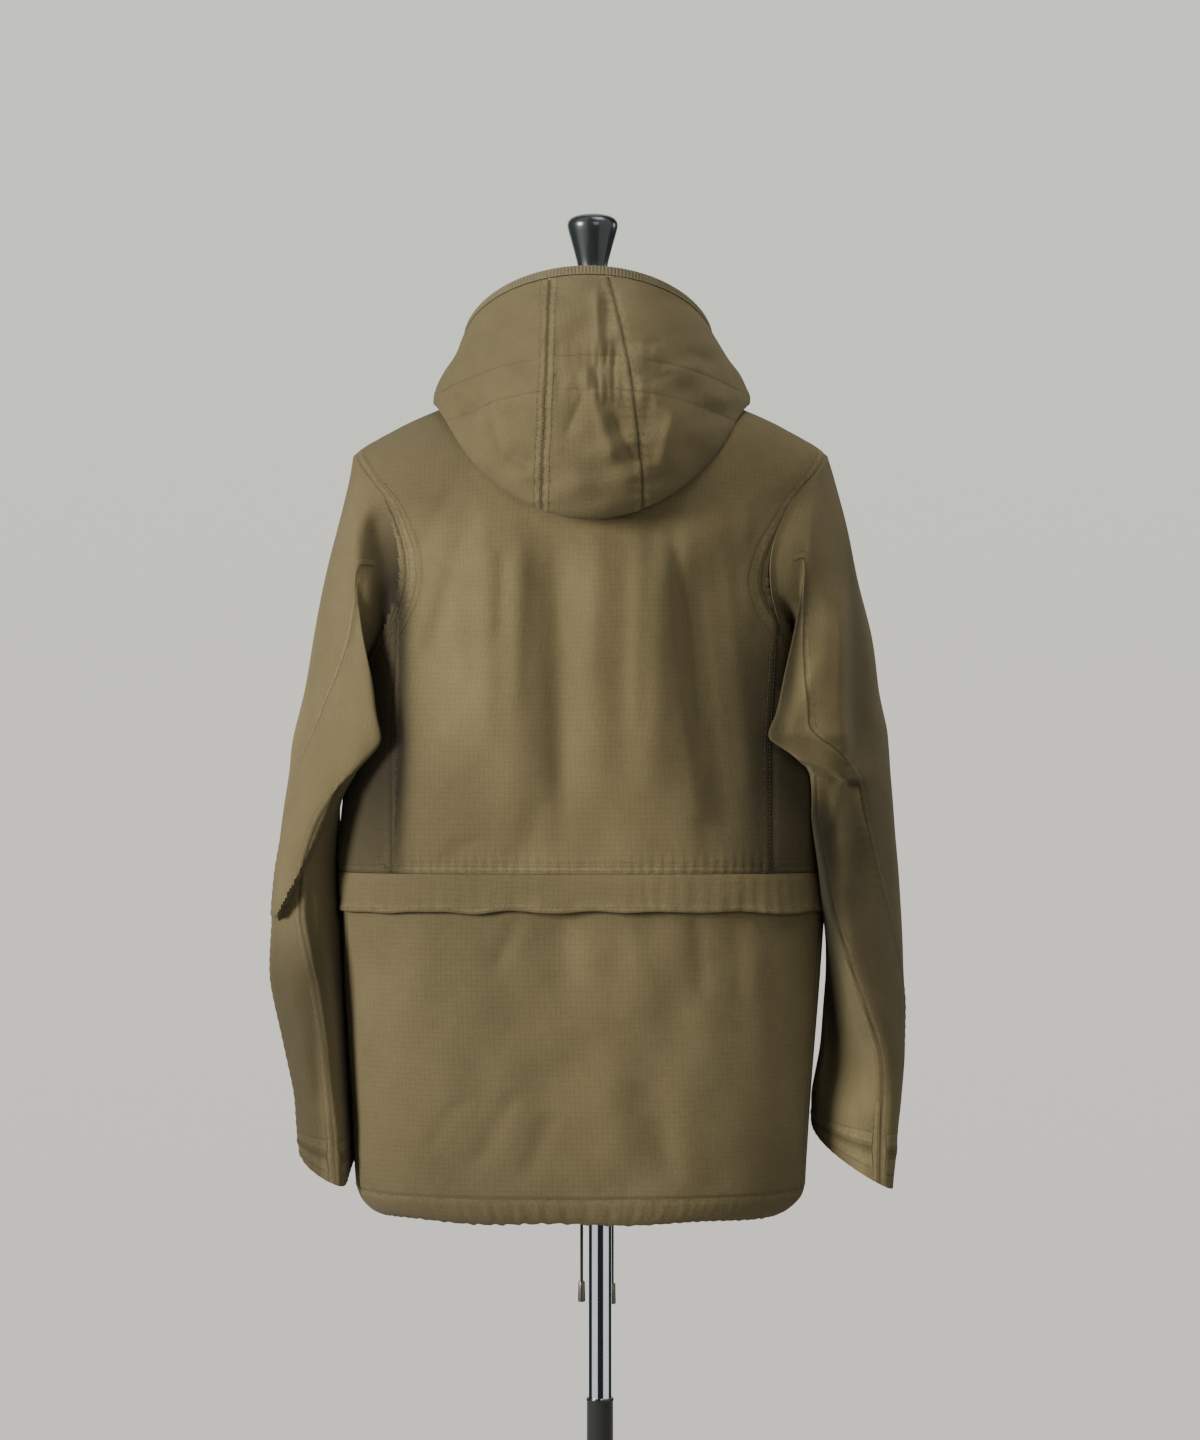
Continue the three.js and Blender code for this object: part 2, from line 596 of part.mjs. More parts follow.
function sleeveSkin(sleeve, t, turn, low, high) {
  const base = sleevePoint(sleeve, t, turn);
  const normal = sleeveNormal(sleeve, t, turn);
  return [base.clone().addScaledVector(normal, high), base.clone().addScaledVector(normal, low)];
}

const valueOn = (points, x) => {
  let i = 0;
  while (i < points.length - 2 && x > points[i + 1][0]) i += 1;
  const [[x0, y0], [x1, y1]] = [points[i], points[i + 1]];
  return y0 + (y1 - y0) * clamp((x - x0) / (x1 - x0), 0, 1);
};

// The turn, in radians, that is half a seam gap on the sleeve's surface. Where the sleeve bends
// sharply below the armhole the gap is wider, so that the inner edges don't cross.
const TIGHT_EXTRA = 0.45;
function seamTurn(sleeve, t, turn) {
  const step = 0.01;
  const before = sectionPoint(sleeve, Math.round(clamp(t, 0, 40)), turn - step);
  const after = sectionPoint(sleeve, Math.round(clamp(t, 0, 40)), turn + step);
  const half = SEAM_GAP / 2 + (t > 0 && t <= 2 ? TIGHT_EXTRA : 0.04);
  return half * 2 * step / before.distanceTo(after);
}
const RIDGE = Math.PI / 2;
const elbowSeam = (sleeve, t) => rad(valueOn(sleeve.seam, t));

// A sleeve is an outer panel, a narrow elbow panel that starts in a point, and an under panel.
function addSleeve(name, sleeve) {
  const count = sleeve.sections.length;
  const stations = [0];
  for (let t = 0.5; t <= count + 1e-9; t += t < 1 ? 0.5 : 1) stations.push(t);
  const panel = (suffix, first, columns, from, to) => {
    const own = stations.slice(first);
    add(`${name}_${suffix}`, shell(own.length - 1, columns, (i, j) => {
      const a = from(own[i]) + seamTurn(sleeve, own[i], from(own[i]));
      const b = to(own[i]) - seamTurn(sleeve, own[i], to(own[i]));
      const share = sleeve.side > 0 ? j / columns : 1 - j / columns;
      return sleeveSkin(sleeve, own[i], a + (b - a) * share, -WALL, 0);
    }), CLOTH);
  };
  const pointed = stations.indexOf(0.5);
  const outerEnd = (t) => (t < 0.5 ? RIDGE : elbowSeam(sleeve, t));
  panel('outer_panel', 0, sleeve.outerColumns, () => -Math.PI / 2, outerEnd);
  panel('elbow_panel', pointed, 4, (t) => elbowSeam(sleeve, t), () => RIDGE);
  panel('under_panel', 0, sleeve.underColumns, () => RIDGE, () => 1.5 * Math.PI);
}
addSleeve('left_sleeve', LEFT_SLEEVE);
addSleeve('right_sleeve', RIGHT_SLEEVE);

// A flat piece sewn on a sleeve, made from the sleeve's own surface moved out.
function sleevePatch(name, sleeve, stations, turns, liftAt, thickness, material) {
  add(name, shell(stations.length - 1, turns.length - 1, (i, j) => {
    const lift = liftAt(stations[i]);
    return sleeveSkin(sleeve, stations[i], turns[j], lift, lift + thickness);
  }), material);
}

const PATCH_LIFT = 1.3;
const POCKET_LIFT = 1.5;
const POCKET_TURNS = spread(rad(-32), rad(32), 5);
sleevePatch('sleeve_pocket', LEFT_SLEEVE, [2.12, 3, 4], POCKET_TURNS, () => POCKET_LIFT, WALL, CLOTH);
// The flap is sewn on above the pocket, passes over its top edge and stands off at its lower edge.
const FLAP_LIFTS = [[1.68, 0.95], [1.9, 1.1], [2.02, 3.5], [2.35, 5], [2.72, 10]];
sleevePatch('sleeve_pocket_flap', LEFT_SLEEVE, FLAP_LIFTS.map(([t]) => t), spread(rad(-35), rad(35), 5),
  (t) => valueOn(FLAP_LIFTS, t), 1.8, CLOTH);

const CUFF = {
  left: { sleeve: LEFT_SLEEVE, stations: [12.8, 13, 14, 14.3], from: 98, to: 172, patch: [174, 196], patchLift: 0.9 },
  right: { sleeve: RIGHT_SLEEVE, stations: [13.9, 14, 15, 15.5], from: 98, to: 160, patch: [162, 188], patchLift: 1.3 },
};
for (const [side, cuff] of Object.entries(CUFF)) {
  sleevePatch(`${side}_cuff_tab`, cuff.sleeve, cuff.stations, spread(rad(cuff.from), rad(cuff.to), 5),
    () => PATCH_LIFT, WALL, CLOTH);
  sleevePatch(`${side}_tab_patch`, cuff.sleeve, cuff.stations.slice(0, 3),
    spread(rad(cuff.patch[0]), rad(cuff.patch[1]), 2), () => cuff.patchLift, 1.2, PATCH);
}

// The hood is a left, a centre and a right panel, with a ribbed tape along the face edge.
const HOOD_CLEARANCE = 8;

// Height of the shoulders' surface above the point x, y, or null beside it.
function shoulderHeight(x, y) {
  const outside = (level) => {
    const r = rowAt(UPPER, 'level', level);
    const depth = y < 0 ? r.back : r.front;
    return (Math.abs(x - r.mid) / r.half) ** r.round + (Math.abs(y) / depth) ** r.round - 1;
  };
  let low = 1402;
  let high = NECK_SEAM;
  if (outside(low) > 0) return null;
  for (let k = 0; k < 30; k += 1) {
    const middle = (low + high) / 2;
    if (outside(middle) < 0) low = middle;
    else high = middle;
  }
  const r = rowAt(UPPER, 'level', low);
  const share = Math.min(1, Math.abs(y) / (y < 0 ? r.back : r.front)) ** (r.round / 2);
  return THREE.MathUtils.lerp(r.zSide, y < 0 ? r.zBack : r.zFront, share ** r.arch);
}

// The hood rests on the shoulders, so its cloth never comes lower than a little above them.
function hoodPoint(level, angle) {
  const p = ring(HOOD, level, angle);
  if (level > 0) {
    const shoulder = shoulderHeight(p.x, p.y);
    if (shoulder !== null) p.z = Math.max(p.z, shoulder + HOOD_CLEARANCE * Math.min(1, level));
  }
  return p;
}

function hoodNormal(level, angle) {
  const inside = clamp(level, 0.06, TAPE_EDGE - 0.06);
  return normalOf((u, v) => hoodPoint(v, u), angle, inside, 0.01, 0.05);
}
const hoodSeamLeft = () => rad(252.5);
const hoodSeamRight = (level) => rad(valueOn([[0, 289], [8, 288], [10, 286], [13, 279]], level));
const HOOD_LEVELS = [0, 1, 2, 3, 4, 5, 5.5, 6, 6.5, 7, 8, 9, 10, 11, 12, HOOD_EDGE];
const HOOD_TRIM = SEAM_GAP / 2 / 110;

function hoodPanel(name, columns, from, to) {
  add(name, shell(HOOD_LEVELS.length - 1, columns, (i, j) => {
    const level = HOOD_LEVELS[i];
    const a = from(level) + HOOD_TRIM;
    const b = to(level) - HOOD_TRIM;
    const angle = a + (b - a) * j / columns;
    const middle = hoodPoint(level, angle);
    const normal = hoodNormal(level, angle);
    return [middle.clone().addScaledVector(normal, WALL / 2), middle.clone().addScaledVector(normal, -WALL / 2)];
  }), CLOTH);
}
hoodPanel('hood_left', 13, () => rad(90), hoodSeamLeft);
hoodPanel('hood_centre', 5, hoodSeamLeft, hoodSeamRight);
hoodPanel('hood_right', 13, hoodSeamRight, () => rad(450));

const TAPE_SEAMS = [rad(90), hoodSeamLeft(), hoodSeamRight(HOOD_EDGE), rad(450)];
const TAPE_ANGLES = [13, 5, 13].flatMap(
  (columns, k) => spread(TAPE_SEAMS[k], TAPE_SEAMS[k + 1], columns).slice(0, -1),
);
add('hood_edge_tape', shell(1, TAPE_ANGLES.length, (i, j) => {
  const angle = TAPE_ANGLES[j];
  const level = i ? TAPE_EDGE : HOOD_EDGE + 0.035;
  const middle = hoodPoint(level, angle);
  const normal = hoodNormal(HOOD_EDGE, angle);
  return [middle.clone().addScaledVector(normal, 1), middle.clone().addScaledVector(normal, -1)];
}, true), TAPE);

// The dress form fills the smock at the shoulders and stays clear of it below.
const FORM_GAPS = [
  [FORM_BOTTOM, 16], [860, 14], [950, 24], [1008, 30], [1100, 24], [1185, 20], [1255, 17],
  [1320, 12], [1350, 6], [1376, 1.6], [1400, 0.4], [1445, 0.4], [1458, 2.4], [1466, 9],
];
const FORM_LEVELS = [FORM_BOTTOM, 900, WAIST_SEAM, 1100, 1200, 1290, 1350, 1376, 1400, 1425, 1445, 1458, 1466];

function formPoint(level, angle) {
  const inset = WALL + valueOn(FORM_GAPS, level);
  const rows = level < 1003 ? SKIRT : UPPER;
  const surface = (u, v) => ring(rows, v, u);
  const inside = clamp(level, rows[0].level + STEP_LEVEL, rows[rows.length - 1].level - STEP_LEVEL);
  const normal = normalOf(surface, angle, inside, STEP_ANGLE, STEP_LEVEL);
  return ring(rows, level, angle).addScaledVector(normal, -inset);
}

const NECK_RINGS = table(['z', 'half', 'back', 'front'], [
  [1484, 62, 54, 58],
  [1515, 58, 55, 57],
  [NECK_TOP - 3, 58, 57, 57],
  [NECK_TOP, 55, 54, 54],
]);
const formRings = FORM_LEVELS.map((level) => ANGLES.map((angle) => formPoint(level, angle)));
for (const r of NECK_RINGS) {
  formRings.push(ANGLES.map((angle) => new THREE.Vector3(
    CAP_X + r.half * Math.cos(angle),
    (Math.sin(angle) < 0 ? r.back : r.front) * Math.sin(angle),
    r.z,
  )));
}
const formBody = stack(
  formRings, new THREE.Vector3(-18, 0, FORM_BOTTOM), new THREE.Vector3(CAP_X, 0, NECK_TOP),
);
const POLE_TOP = 900;
const socket = new THREE.CylinderGeometry(POLE_RADIUS + 0.4, POLE_RADIUS + 0.4, POLE_TOP - 700, 32);
socket.rotateX(Math.PI / 2);
socket.translate(0, 0, (POLE_TOP + 700) / 2);
add('form_torso', fromSolid(toSolid(formBody).subtract(toSolid(socket))), LINEN);

// Turned and drawn parts of the form and the stand, as profiles of radius and height.
function turned(name, profile, x, segments, material) {
  const geometry = new THREE.LatheGeometry(profile.map(([r, z]) => new THREE.Vector2(r, z)), segments);
  geometry.rotateX(Math.PI / 2);
  geometry.translate(x, 0, 0);
  const merged = mergeVertices((() => {
    geometry.deleteAttribute('normal');
    geometry.deleteAttribute('uv');
    return geometry;
  })(), 1e-4);
  add(name, withoutSlivers(merged), material);
}

// A lathe leaves faces of no area on its axis.
function withoutSlivers(geometry) {
  const index = geometry.index.array;
  const kept = [];
  for (let i = 0; i < index.length; i += 3) {
    const [a, b, c] = [index[i], index[i + 1], index[i + 2]];
    if (a !== b && b !== c && a !== c) kept.push(a, b, c);
  }
  return turnedOut(geometryOf(Array.from(geometry.attributes.position.array), kept));
}

const ROUND_FACETS = 24;
const BASE_FACETS = 32;
const SMALL_FACETS = 12;
const CAP_FOOT = NECK_TOP + SEAM_GAP;
turned('neck_cap', [
  [0, CAP_FOOT], [17, CAP_FOOT], [17, CAP_FOOT + 4], [13.2, CAP_FOOT + 9], [13.6, 1576], [16.6, 1589],
  [20.6, 1603], [23.6, 1613], [24, 1617], [22.6, 1621.5], [18, 1625], [10, 1627.4], [0, CAP_TOP],
], CAP_X, ROUND_FACETS, BLACK);

const POLE_BOTTOM = 250;
turned('stand_pole', [
  [0, POLE_BOTTOM], [POLE_RADIUS, POLE_BOTTOM], [POLE_RADIUS, POLE_TOP - SEAM_GAP], [0, POLE_TOP - SEAM_GAP],
], 0, ROUND_FACETS, CHROME);

const BASE_TOP = 14;
const TUBE_FOOT = BASE_TOP + SEAM_GAP;
turned('stand_tube', [
  [POLE_RADIUS + 0.3, TUBE_FOOT], [TUBE_RADIUS, TUBE_FOOT], [TUBE_RADIUS, TUBE_TOP - 3],
  [TUBE_RADIUS + 0.5, TUBE_TOP - 2], [TUBE_RADIUS + 0.5, TUBE_TOP], [POLE_RADIUS + 0.3, TUBE_TOP],
  [POLE_RADIUS + 0.3, TUBE_FOOT],
], 0, ROUND_FACETS, BLACK);

turned('stand_base', [
  [0, 0], [BASE_RADIUS, 0], [BASE_RADIUS, 5], [BASE_RADIUS - 3, 8], [22, BASE_TOP], [22, 52],
  [20, 54], [TUBE_RADIUS + 0.35, 54], [TUBE_RADIUS + 0.35, BASE_TOP], [0, BASE_TOP],
], 0, BASE_FACETS, BLACK);

// The hem drawcord comes out of two eyelets at the front and hangs below the hem.
function hemFrontY(x) {
  const r = rowAt(SKIRT, 'level', CORD_HEIGHT);
  return r.front * (1 - (Math.abs(x - r.mid) / r.half) ** r.round) ** (1 / r.round);
}

const EYELET = { outer: 5, inner: 2.4, thick: 1.4 };
const END = { radius: 3.4, length: 20.5 };
for (const cord of CORD_ENDS) {
  const face = hemFrontY(cord.x) + 1.2;
  const e = EYELET;
  const eyelet = new THREE.LatheGeometry([
    [e.inner, 0], [e.outer, 0], [e.outer - 0.4, e.thick], [e.inner + 0.4, e.thick], [e.inner, 0],
  ].map(([r, h]) => new THREE.Vector2(r, h)), SMALL_FACETS);
  eyelet.translate(cord.x, face, CORD_HEIGHT);
  eyelet.deleteAttribute('normal');
  eyelet.deleteAttribute('uv');
  add(`hem_eyelet_${cord.side}`, withoutSlivers(mergeVertices(eyelet, 1e-4)), STEEL);

  const route = new THREE.CatmullRomCurve3([
    [0, 0.2, 0], [0, 3.2, -0.3], [0, 6.4, -2.6], [0, 8.2, -7.5], [0, 8.6, -16], [0, 8.4, -35], [0, 8.4, -60],
    [0, 8.4, cord.bottom - CORD_HEIGHT],
  ].map(([x, y, z]) => new THREE.Vector3(cord.x + x, face + y, CORD_HEIGHT + z)));
  const section = new THREE.Shape();
  section.absarc(0, 0, CORD_RADIUS, 0, 2 * Math.PI);
  const tube = new THREE.ExtrudeGeometry(section, {
    steps: 18, curveSegments: 4, extrudePath: route, bevelEnabled: false,
  });
  add(`drawcord_${cord.side}`, tube, CORD);

  const top = cord.bottom - SEAM_GAP;
  const end = END.radius;
  const barrel = new THREE.LatheGeometry([
    [0, top - END.length], [end, top - END.length], [end + 0.2, top - END.length + 1], [end - 0.3, top - 1],
    [end - 1, top], [0, top],
  ].map(([r, h]) => new THREE.Vector2(r, h)), SMALL_FACETS);
  barrel.rotateX(Math.PI / 2);
  barrel.translate(cord.x, face + 8.4, 0);
  barrel.deleteAttribute('normal');
  barrel.deleteAttribute('uv');
  add(`cord_end_${cord.side}`, withoutSlivers(mergeVertices(barrel, 1e-4)), STEEL);
}

export default group;
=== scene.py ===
# An olive anorak smock seen from the back, on a limbless dress form.
# Shapes are worked out in millimetres, in the part's own frame, and made in metres.
import math

import bmesh
import bpy
import numpy as np
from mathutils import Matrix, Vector


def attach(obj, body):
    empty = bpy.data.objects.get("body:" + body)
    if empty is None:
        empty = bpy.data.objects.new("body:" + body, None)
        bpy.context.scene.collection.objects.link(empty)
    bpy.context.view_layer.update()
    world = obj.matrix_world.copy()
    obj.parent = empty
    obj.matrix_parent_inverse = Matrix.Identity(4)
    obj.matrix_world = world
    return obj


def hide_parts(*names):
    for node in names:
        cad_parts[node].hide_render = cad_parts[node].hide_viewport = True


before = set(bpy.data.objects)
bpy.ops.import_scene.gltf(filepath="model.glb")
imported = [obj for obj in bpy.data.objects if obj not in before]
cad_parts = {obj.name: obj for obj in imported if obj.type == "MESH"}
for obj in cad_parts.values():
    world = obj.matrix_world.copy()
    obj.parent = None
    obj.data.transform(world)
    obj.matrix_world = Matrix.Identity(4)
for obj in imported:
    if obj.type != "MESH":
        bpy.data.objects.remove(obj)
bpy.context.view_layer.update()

MM = 0.001
WALL = 1.5
WAIST_SEAM = 1008
BAND_BOTTOM = 970
SKIRT_TOP = 1003
HEM_TOP = 712
HEM_BOTTOM = 687
NECK_SEAM = 1468
CAP_X = -7
CORD_HEIGHT = 698
BACK = np.radians(270)

# Camera and the photograph's frame
CAMERA_DISTANCE = 3.5
CAMERA_HEIGHT = 1.15
FOCAL_PIXELS = 3704
LONG_SIDE = 1440
BACK_DISTANCE = 3500 - 118       # from the camera to the back of the smock, in millimetres


def back_x(px):
    """A column of the photograph as a place across the smock's back."""
    return (px - 600.5) * BACK_DISTANCE / FOCAL_PIXELS


def back_z(py):
    return 1150 + (720 - py) * BACK_DISTANCE / FOCAL_PIXELS


def make_camera():
    data = bpy.data.cameras.new("camera")
    data.sensor_width = 36
    data.lens = 36 * FOCAL_PIXELS / LONG_SIDE
    camera = bpy.data.objects.new("camera", data)
    camera.location = (0, -CAMERA_DISTANCE, CAMERA_HEIGHT)
    camera.rotation_euler = (math.pi / 2, 0, 0)
    bpy.context.collection.objects.link(camera)
    bpy.context.scene.camera = camera


make_camera()


# Curves through tables
def table(columns, rows):
    rows = np.array(rows, float)
    return {name: rows[:, i] for i, name in enumerate(columns)}


def along(rows, key, column, x):
    """Values of a column at positions x, on a smooth curve through the table's rows."""
    xs, ys = rows[key], rows[column]
    x = np.clip(np.asarray(x, float), xs[0], xs[-1])
    i = np.clip(np.searchsorted(xs, x, side="left") - 1, 0, len(xs) - 2)
    before = np.concatenate(([xs[0]], xs[:-1]))
    after = np.concatenate((xs[1:], [xs[-1]]))
    slope = (np.concatenate((ys[1:], [ys[-1]])) - np.concatenate(([ys[0]], ys[:-1]))) / (after - before)
    span = xs[i + 1] - xs[i]
    t = (x - xs[i]) / span
    rise = ys[i + 1] - ys[i]
    curve = ys[i] + rise * (3 * t**2 - 2 * t**3)
    return curve + span * (slope[i] * (t**3 - 2 * t**2 + t) + slope[i + 1] * (t**3 - t**2))


def smooth(a, b, x):
    t = np.clip((np.asarray(x, float) - a) / (b - a), 0, 1)
    return t * t * (3 - 2 * t)


def bell(x, width):
    return np.exp(-0.5 * (np.asarray(x) / width) ** 2)


def power(value, exponent):
    return np.sign(value) * np.abs(value) ** exponent


def lerp(a, b, t):
    return a + (b - a) * t


# The smock's shape, as rings round the body
RING = ["level", "zBack", "zSide", "zFront", "half", "back", "front", "mid", "round", "arch"]
SKIRT = table(RING, [
    [687, 687, 688, 688, 190, 105, 111, -18, 2.4, 2],
    [690, 690, 691, 691, 197, 108, 114, -18, 2.4, 2],
    [697, 697, 698, 698, 205, 112, 119, -18, 2.4, 2],
    [706, 706, 706, 706, 210, 114, 121, -18, 2.4, 2],
    [716, 716, 716, 716, 212, 115, 122, -18.5, 2.4, 2],
    [800, 800, 800, 800, 217, 114, 123, -18, 2.4, 2],
    [900, 900, 900, 900, 224, 111, 122, -17, 2.4, 2],
    [965, 965, 965, 965, 227, 108.4, 119.6, -15.5, 2.4, 2],
    [1003, 1003, 1003, 1003, 228.6, 108, 119.4, -15, 2.4, 2],
])
UPPER = table(RING, [
    [970, 974, 970, 970, 231.5, 114, 125.5, -15, 2.4, 2],
    [1008, 1009, 1008, 1008, 232, 110.8, 122.6, -15, 2.4, 2],
    [1030, 1030, 1030, 1030, 232.5, 110, 123, -14.5, 2.4, 2],
    [1100, 1100, 1100, 1100, 227, 112, 126, -13, 2.4, 2],
    [1180, 1180, 1180, 1180, 217, 118, 130, -12, 2.4, 2],
    [1240, 1232, 1246, 1226, 213, 122, 132, -12, 2.4, 2],
    [1300, 1284, 1308, 1270, 212, 124, 130, -11, 2.4, 2],
    [1350, 1326, 1360, 1304, 217, 122, 124, -10, 2.35, 2],
    [1400, 1366, 1399, 1334, 222, 114, 112, -9, 2.3, 2],
    [1425, 1402, 1426, 1360, 180, 104, 102, -8.5, 2.2, 2],
    [1445, 1428, 1445, 1384, 138, 92, 92, -8, 2.1, 2],
    [1458, 1446, 1458, 1400, 105, 80, 84, -8, 2, 2],
    [1468, 1458, 1467, 1412, 84, 68, 76, -8, 2, 2],
])
HOOD = table(RING, [
    [0, 1458.9, 1467.9, 1412.9, 83.8, 67.8, 75.8, -8, 2, 2],
    [1, 1467, 1475, 1420, 88, 78, 79, -8, 2, 2],
    [2, 1456, 1477, 1427, 98, 93, 83, -8, 2, 1.9],
    [3, 1422, 1472, 1433, 111, 106, 86, -8, 2, 1.8],
    [4, 1385, 1465, 1438, 125, 119, 89, -8, 2, 1.7],
    [5, 1351, 1457, 1442, 138, 129, 91, -8, 2, 1.65],
    [6, 1333, 1447, 1444, 147, 143, 93, -8, 2, 1.65],
    [7, 1343, 1454, 1446, 149, 160, 94, -8, 2, 1.6],
    [8, 1375, 1463, 1449, 146, 171, 95, -8, 2, 1.5],
    [9, 1415, 1474, 1452, 140, 174, 96, -8, 2, 1.4],
    [10, 1455, 1484, 1455, 134, 166, 97, -8.5, 2, 1.3],
    [11, 1495, 1493, 1458, 128, 148, 97, -9, 2, 1.2],
    [12, 1530, 1500, 1461, 122, 124, 97, -10, 2, 1.1],
    [13, 1558, 1505, 1464, 117, 100, 97, -11, 2, 1.1],
    [13.4, 1567, 1509, 1469, 116, 96, 97.5, -11, 2, 1.1],
])
HOOD_EDGE = 13
TAPE_EDGE = 13.4
HOOD_CLEARANCE = 8

# Folds of the back and front: ridges and troughs from a top to a bottom point
FOLD = ["xTop", "zTop", "xBottom", "zBottom", "width", "rise"]
BACK_FOLDS = table(FOLD, [
    [-152, 1300, -158, 1110, 14, -6],
    [-92, 1325, -76, 1030, 20, 6],
    [-49, 1310, -24, 1050, 15, -5],
    [4, 1300, 0, 1100, 15, 4],
    [52, 1300, 46, 1080, 14, 5],
    [76, 1290, 118, 1035, 17, -7],
    [100, 1270, 132, 1060, 14, 3],
    [142, 1340, 150, 1120, 14, -7],
])
FRONT_FOLDS = table(FOLD, [
    [-140, 1290, -150, 1060, 18, -6],
    [-84, 1270, -80, 1050, 20, 5],
    [70, 1270, 76, 1040, 20, 5],
    [128, 1290, 140, 1080, 18, -6],
])
# Smaller creases that the solid leaves out, placed by the photograph
FINE_FOLDS = table(FOLD, [
    [back_x(461), back_z(536), back_x(433), back_z(650), 7, -3.2],
    [back_x(483), back_z(507), back_x(488), back_z(750), 7, 2.2],
    [back_x(504), back_z(550), back_x(500), back_z(643), 5, -1.8],
    [back_x(522), back_z(540), back_x(515), back_z(720), 6, 1.6],
    [back_x(560), back_z(540), back_x(562), back_z(860), 8, -2.2],
    [back_x(597), back_z(520), back_x(590), back_z(700), 7, 1.8],
    [back_x(640), back_z(530), back_x(634), back_z(740), 6, 2],
    [back_x(674), back_z(530), back_x(700), back_z(760), 5, -3.4],
    [back_x(716), back_z(560), back_x(742), back_z(800), 7, -2.6],
    [back_x(748), back_z(500), back_x(752), back_z(640), 6, 2.4],
    [back_x(404), back_z(450), back_x(376), back_z(462), 5, -2.4],
    [back_x(454), back_z(486), back_x(411), back_z(557), 6, -2.6],
    [back_x(440), back_z(560), back_x(412), back_z(660), 6, 2],
    [back_x(371), back_z(472), back_x(390), back_z(533), 5, 2.4],
    [back_x(470), back_z(840), back_x(440), back_z(866), 8, -1.6],
    [back_x(700), back_z(820), back_x(716), back_z(866), 8, -1.8],
    [back_x(540), back_z(800), back_x(520), back_z(866), 9, -1.4],
])
SKIRT_FOLDS = table(FOLD, [
    [back_x(518), back_z(918), back_x(494), back_z(975), 6, -2.2],
    [back_x(565), back_z(918), back_x(567), back_z(990), 7, -2],
    [back_x(632), back_z(918), back_x(640), back_z(980), 8, 1.6],
    [back_x(697), back_z(918), back_x(704), back_z(1000), 6, -2.2],
    [back_x(738), back_z(918), back_x(744), back_z(1010), 7, -2],
    [back_x(776), back_z(940), back_x(784), back_z(1140), 8, -2.6],
    [back_x(460), back_z(1100), back_x(425), back_z(1155), 7, -2],
    [back_x(514), back_z(1095), back_x(472), back_z(1175), 7, -2.2],
    [back_x(550), back_z(1115), back_x(525), back_z(1185), 7, -1.8],
    [back_x(660), back_z(1120), back_x(672), back_z(1190), 8, -1.8],
    [back_x(420), back_z(930), back_x(392), back_z(1120), 14, 3],
    [back_x(610), back_z(950), back_x(600), back_z(1160), 26, 2.5],
])


# The right third of the back lies deeper than the rest, past a soft vertical edge
RECESS = {"top": (62, 1300), "bottom": (84, 1040), "depth": 10}


def fold_rise(folds, x, z):
    rise = np.zeros_like(x)
    for k in range(len(folds["rise"])):
        top, bottom = folds["zTop"][k], folds["zBottom"][k]
        t = (top - z) / (top - bottom)
        centre = lerp(folds["xTop"][k], folds["xBottom"][k], np.clip(t, 0, 1))
        fade = smooth(-0.12, 0.15, t) * (1 - smooth(0.75, 1.12, t))
        rise += folds["rise"][k] * fade * bell(x - centre, folds["width"][k])
    return rise


def ripple(x, z, size_x, size_z, seed):
    """Smooth random relief between about -1 and 1, with waves of about the given sizes."""
    rng = np.random.default_rng(seed)
    total = np.zeros_like(x)
    for _ in range(14):
        angle = rng.uniform(0, 2 * math.pi)
        stretch = rng.uniform(0.7, 1.5)
        u = math.cos(angle) * x / size_x + math.sin(angle) * z / size_z
        total += np.sin(2 * math.pi * stretch * u + rng.uniform(0, 2 * math.pi))
    return total / 4


def ring(rows, level, angle):
    level, angle = np.broadcast_arrays(np.asarray(level, float), np.asarray(angle, float))
    r = {name: along(rows, "level", name, level) for name in RING[1:]}
    c, s = np.cos(angle), np.sin(angle)
    bend = 2 / r["round"]
    lift = np.abs(s) ** r["arch"]
    x = r["mid"] + r["half"] * power(c, bend)
    y = np.where(s < 0, r["back"], r["front"]) * power(s, bend)
    z = lerp(r["zSide"], np.where(s < 0, r["zBack"], r["zFront"]), lift)
    return np.stack([x, y, z], axis=-1)


def body_point(level, angle):
    """The body's outer surface with the folds of the solid and the finer creases."""
    p = ring(UPPER, level, angle)
    s = np.sin(np.broadcast_to(angle, p.shape[:-1]))
    x, z = p[..., 0], p[..., 2]
    still = smooth(WAIST_SEAM, WAIST_SEAM + 14, z)
    back = fold_rise(BACK_FOLDS, x, z) + fold_rise(FINE_FOLDS, x, z) * still
    back += ripple(x, z, 60, 130, 3) * 0.9 * still
    edge = x - lerp(RECESS["top"][0], RECESS["bottom"][0], smooth(RECESS["top"][1], RECESS["bottom"][1], z))
    reach = smooth(1015, 1080, z) * (1 - smooth(1270, 1330, z))
    back -= RECESS["depth"] * smooth(0, 34, edge) * (1 - 0.5 * smooth(60, 95, edge)) * reach
    front = fold_rise(FRONT_FOLDS, x, z) + ripple(x, z, 60, 120, 5) * 0.9 * still
    p[..., 1] += np.where(s < 0, -back, front) * s * s
    return p


def skirt_point(level, angle):
    p = ring(SKIRT, level, angle)
    s = np.sin(np.broadcast_to(angle, p.shape[:-1]))
    x, z = p[..., 0], p[..., 2]
    still = smooth(HEM_TOP - 12, HEM_TOP + 20, z) * (1 - smooth(SKIRT_TOP - 20, SKIRT_TOP, z))
    back = fold_rise(SKIRT_FOLDS, x, z) + ripple(x, z, 70, 90, 8) * 1.1
    front = ripple(x, z, 70, 100, 9) * 1.6
    p[..., 1] += np.where(s < 0, -back, front) * s * s * still
    return p


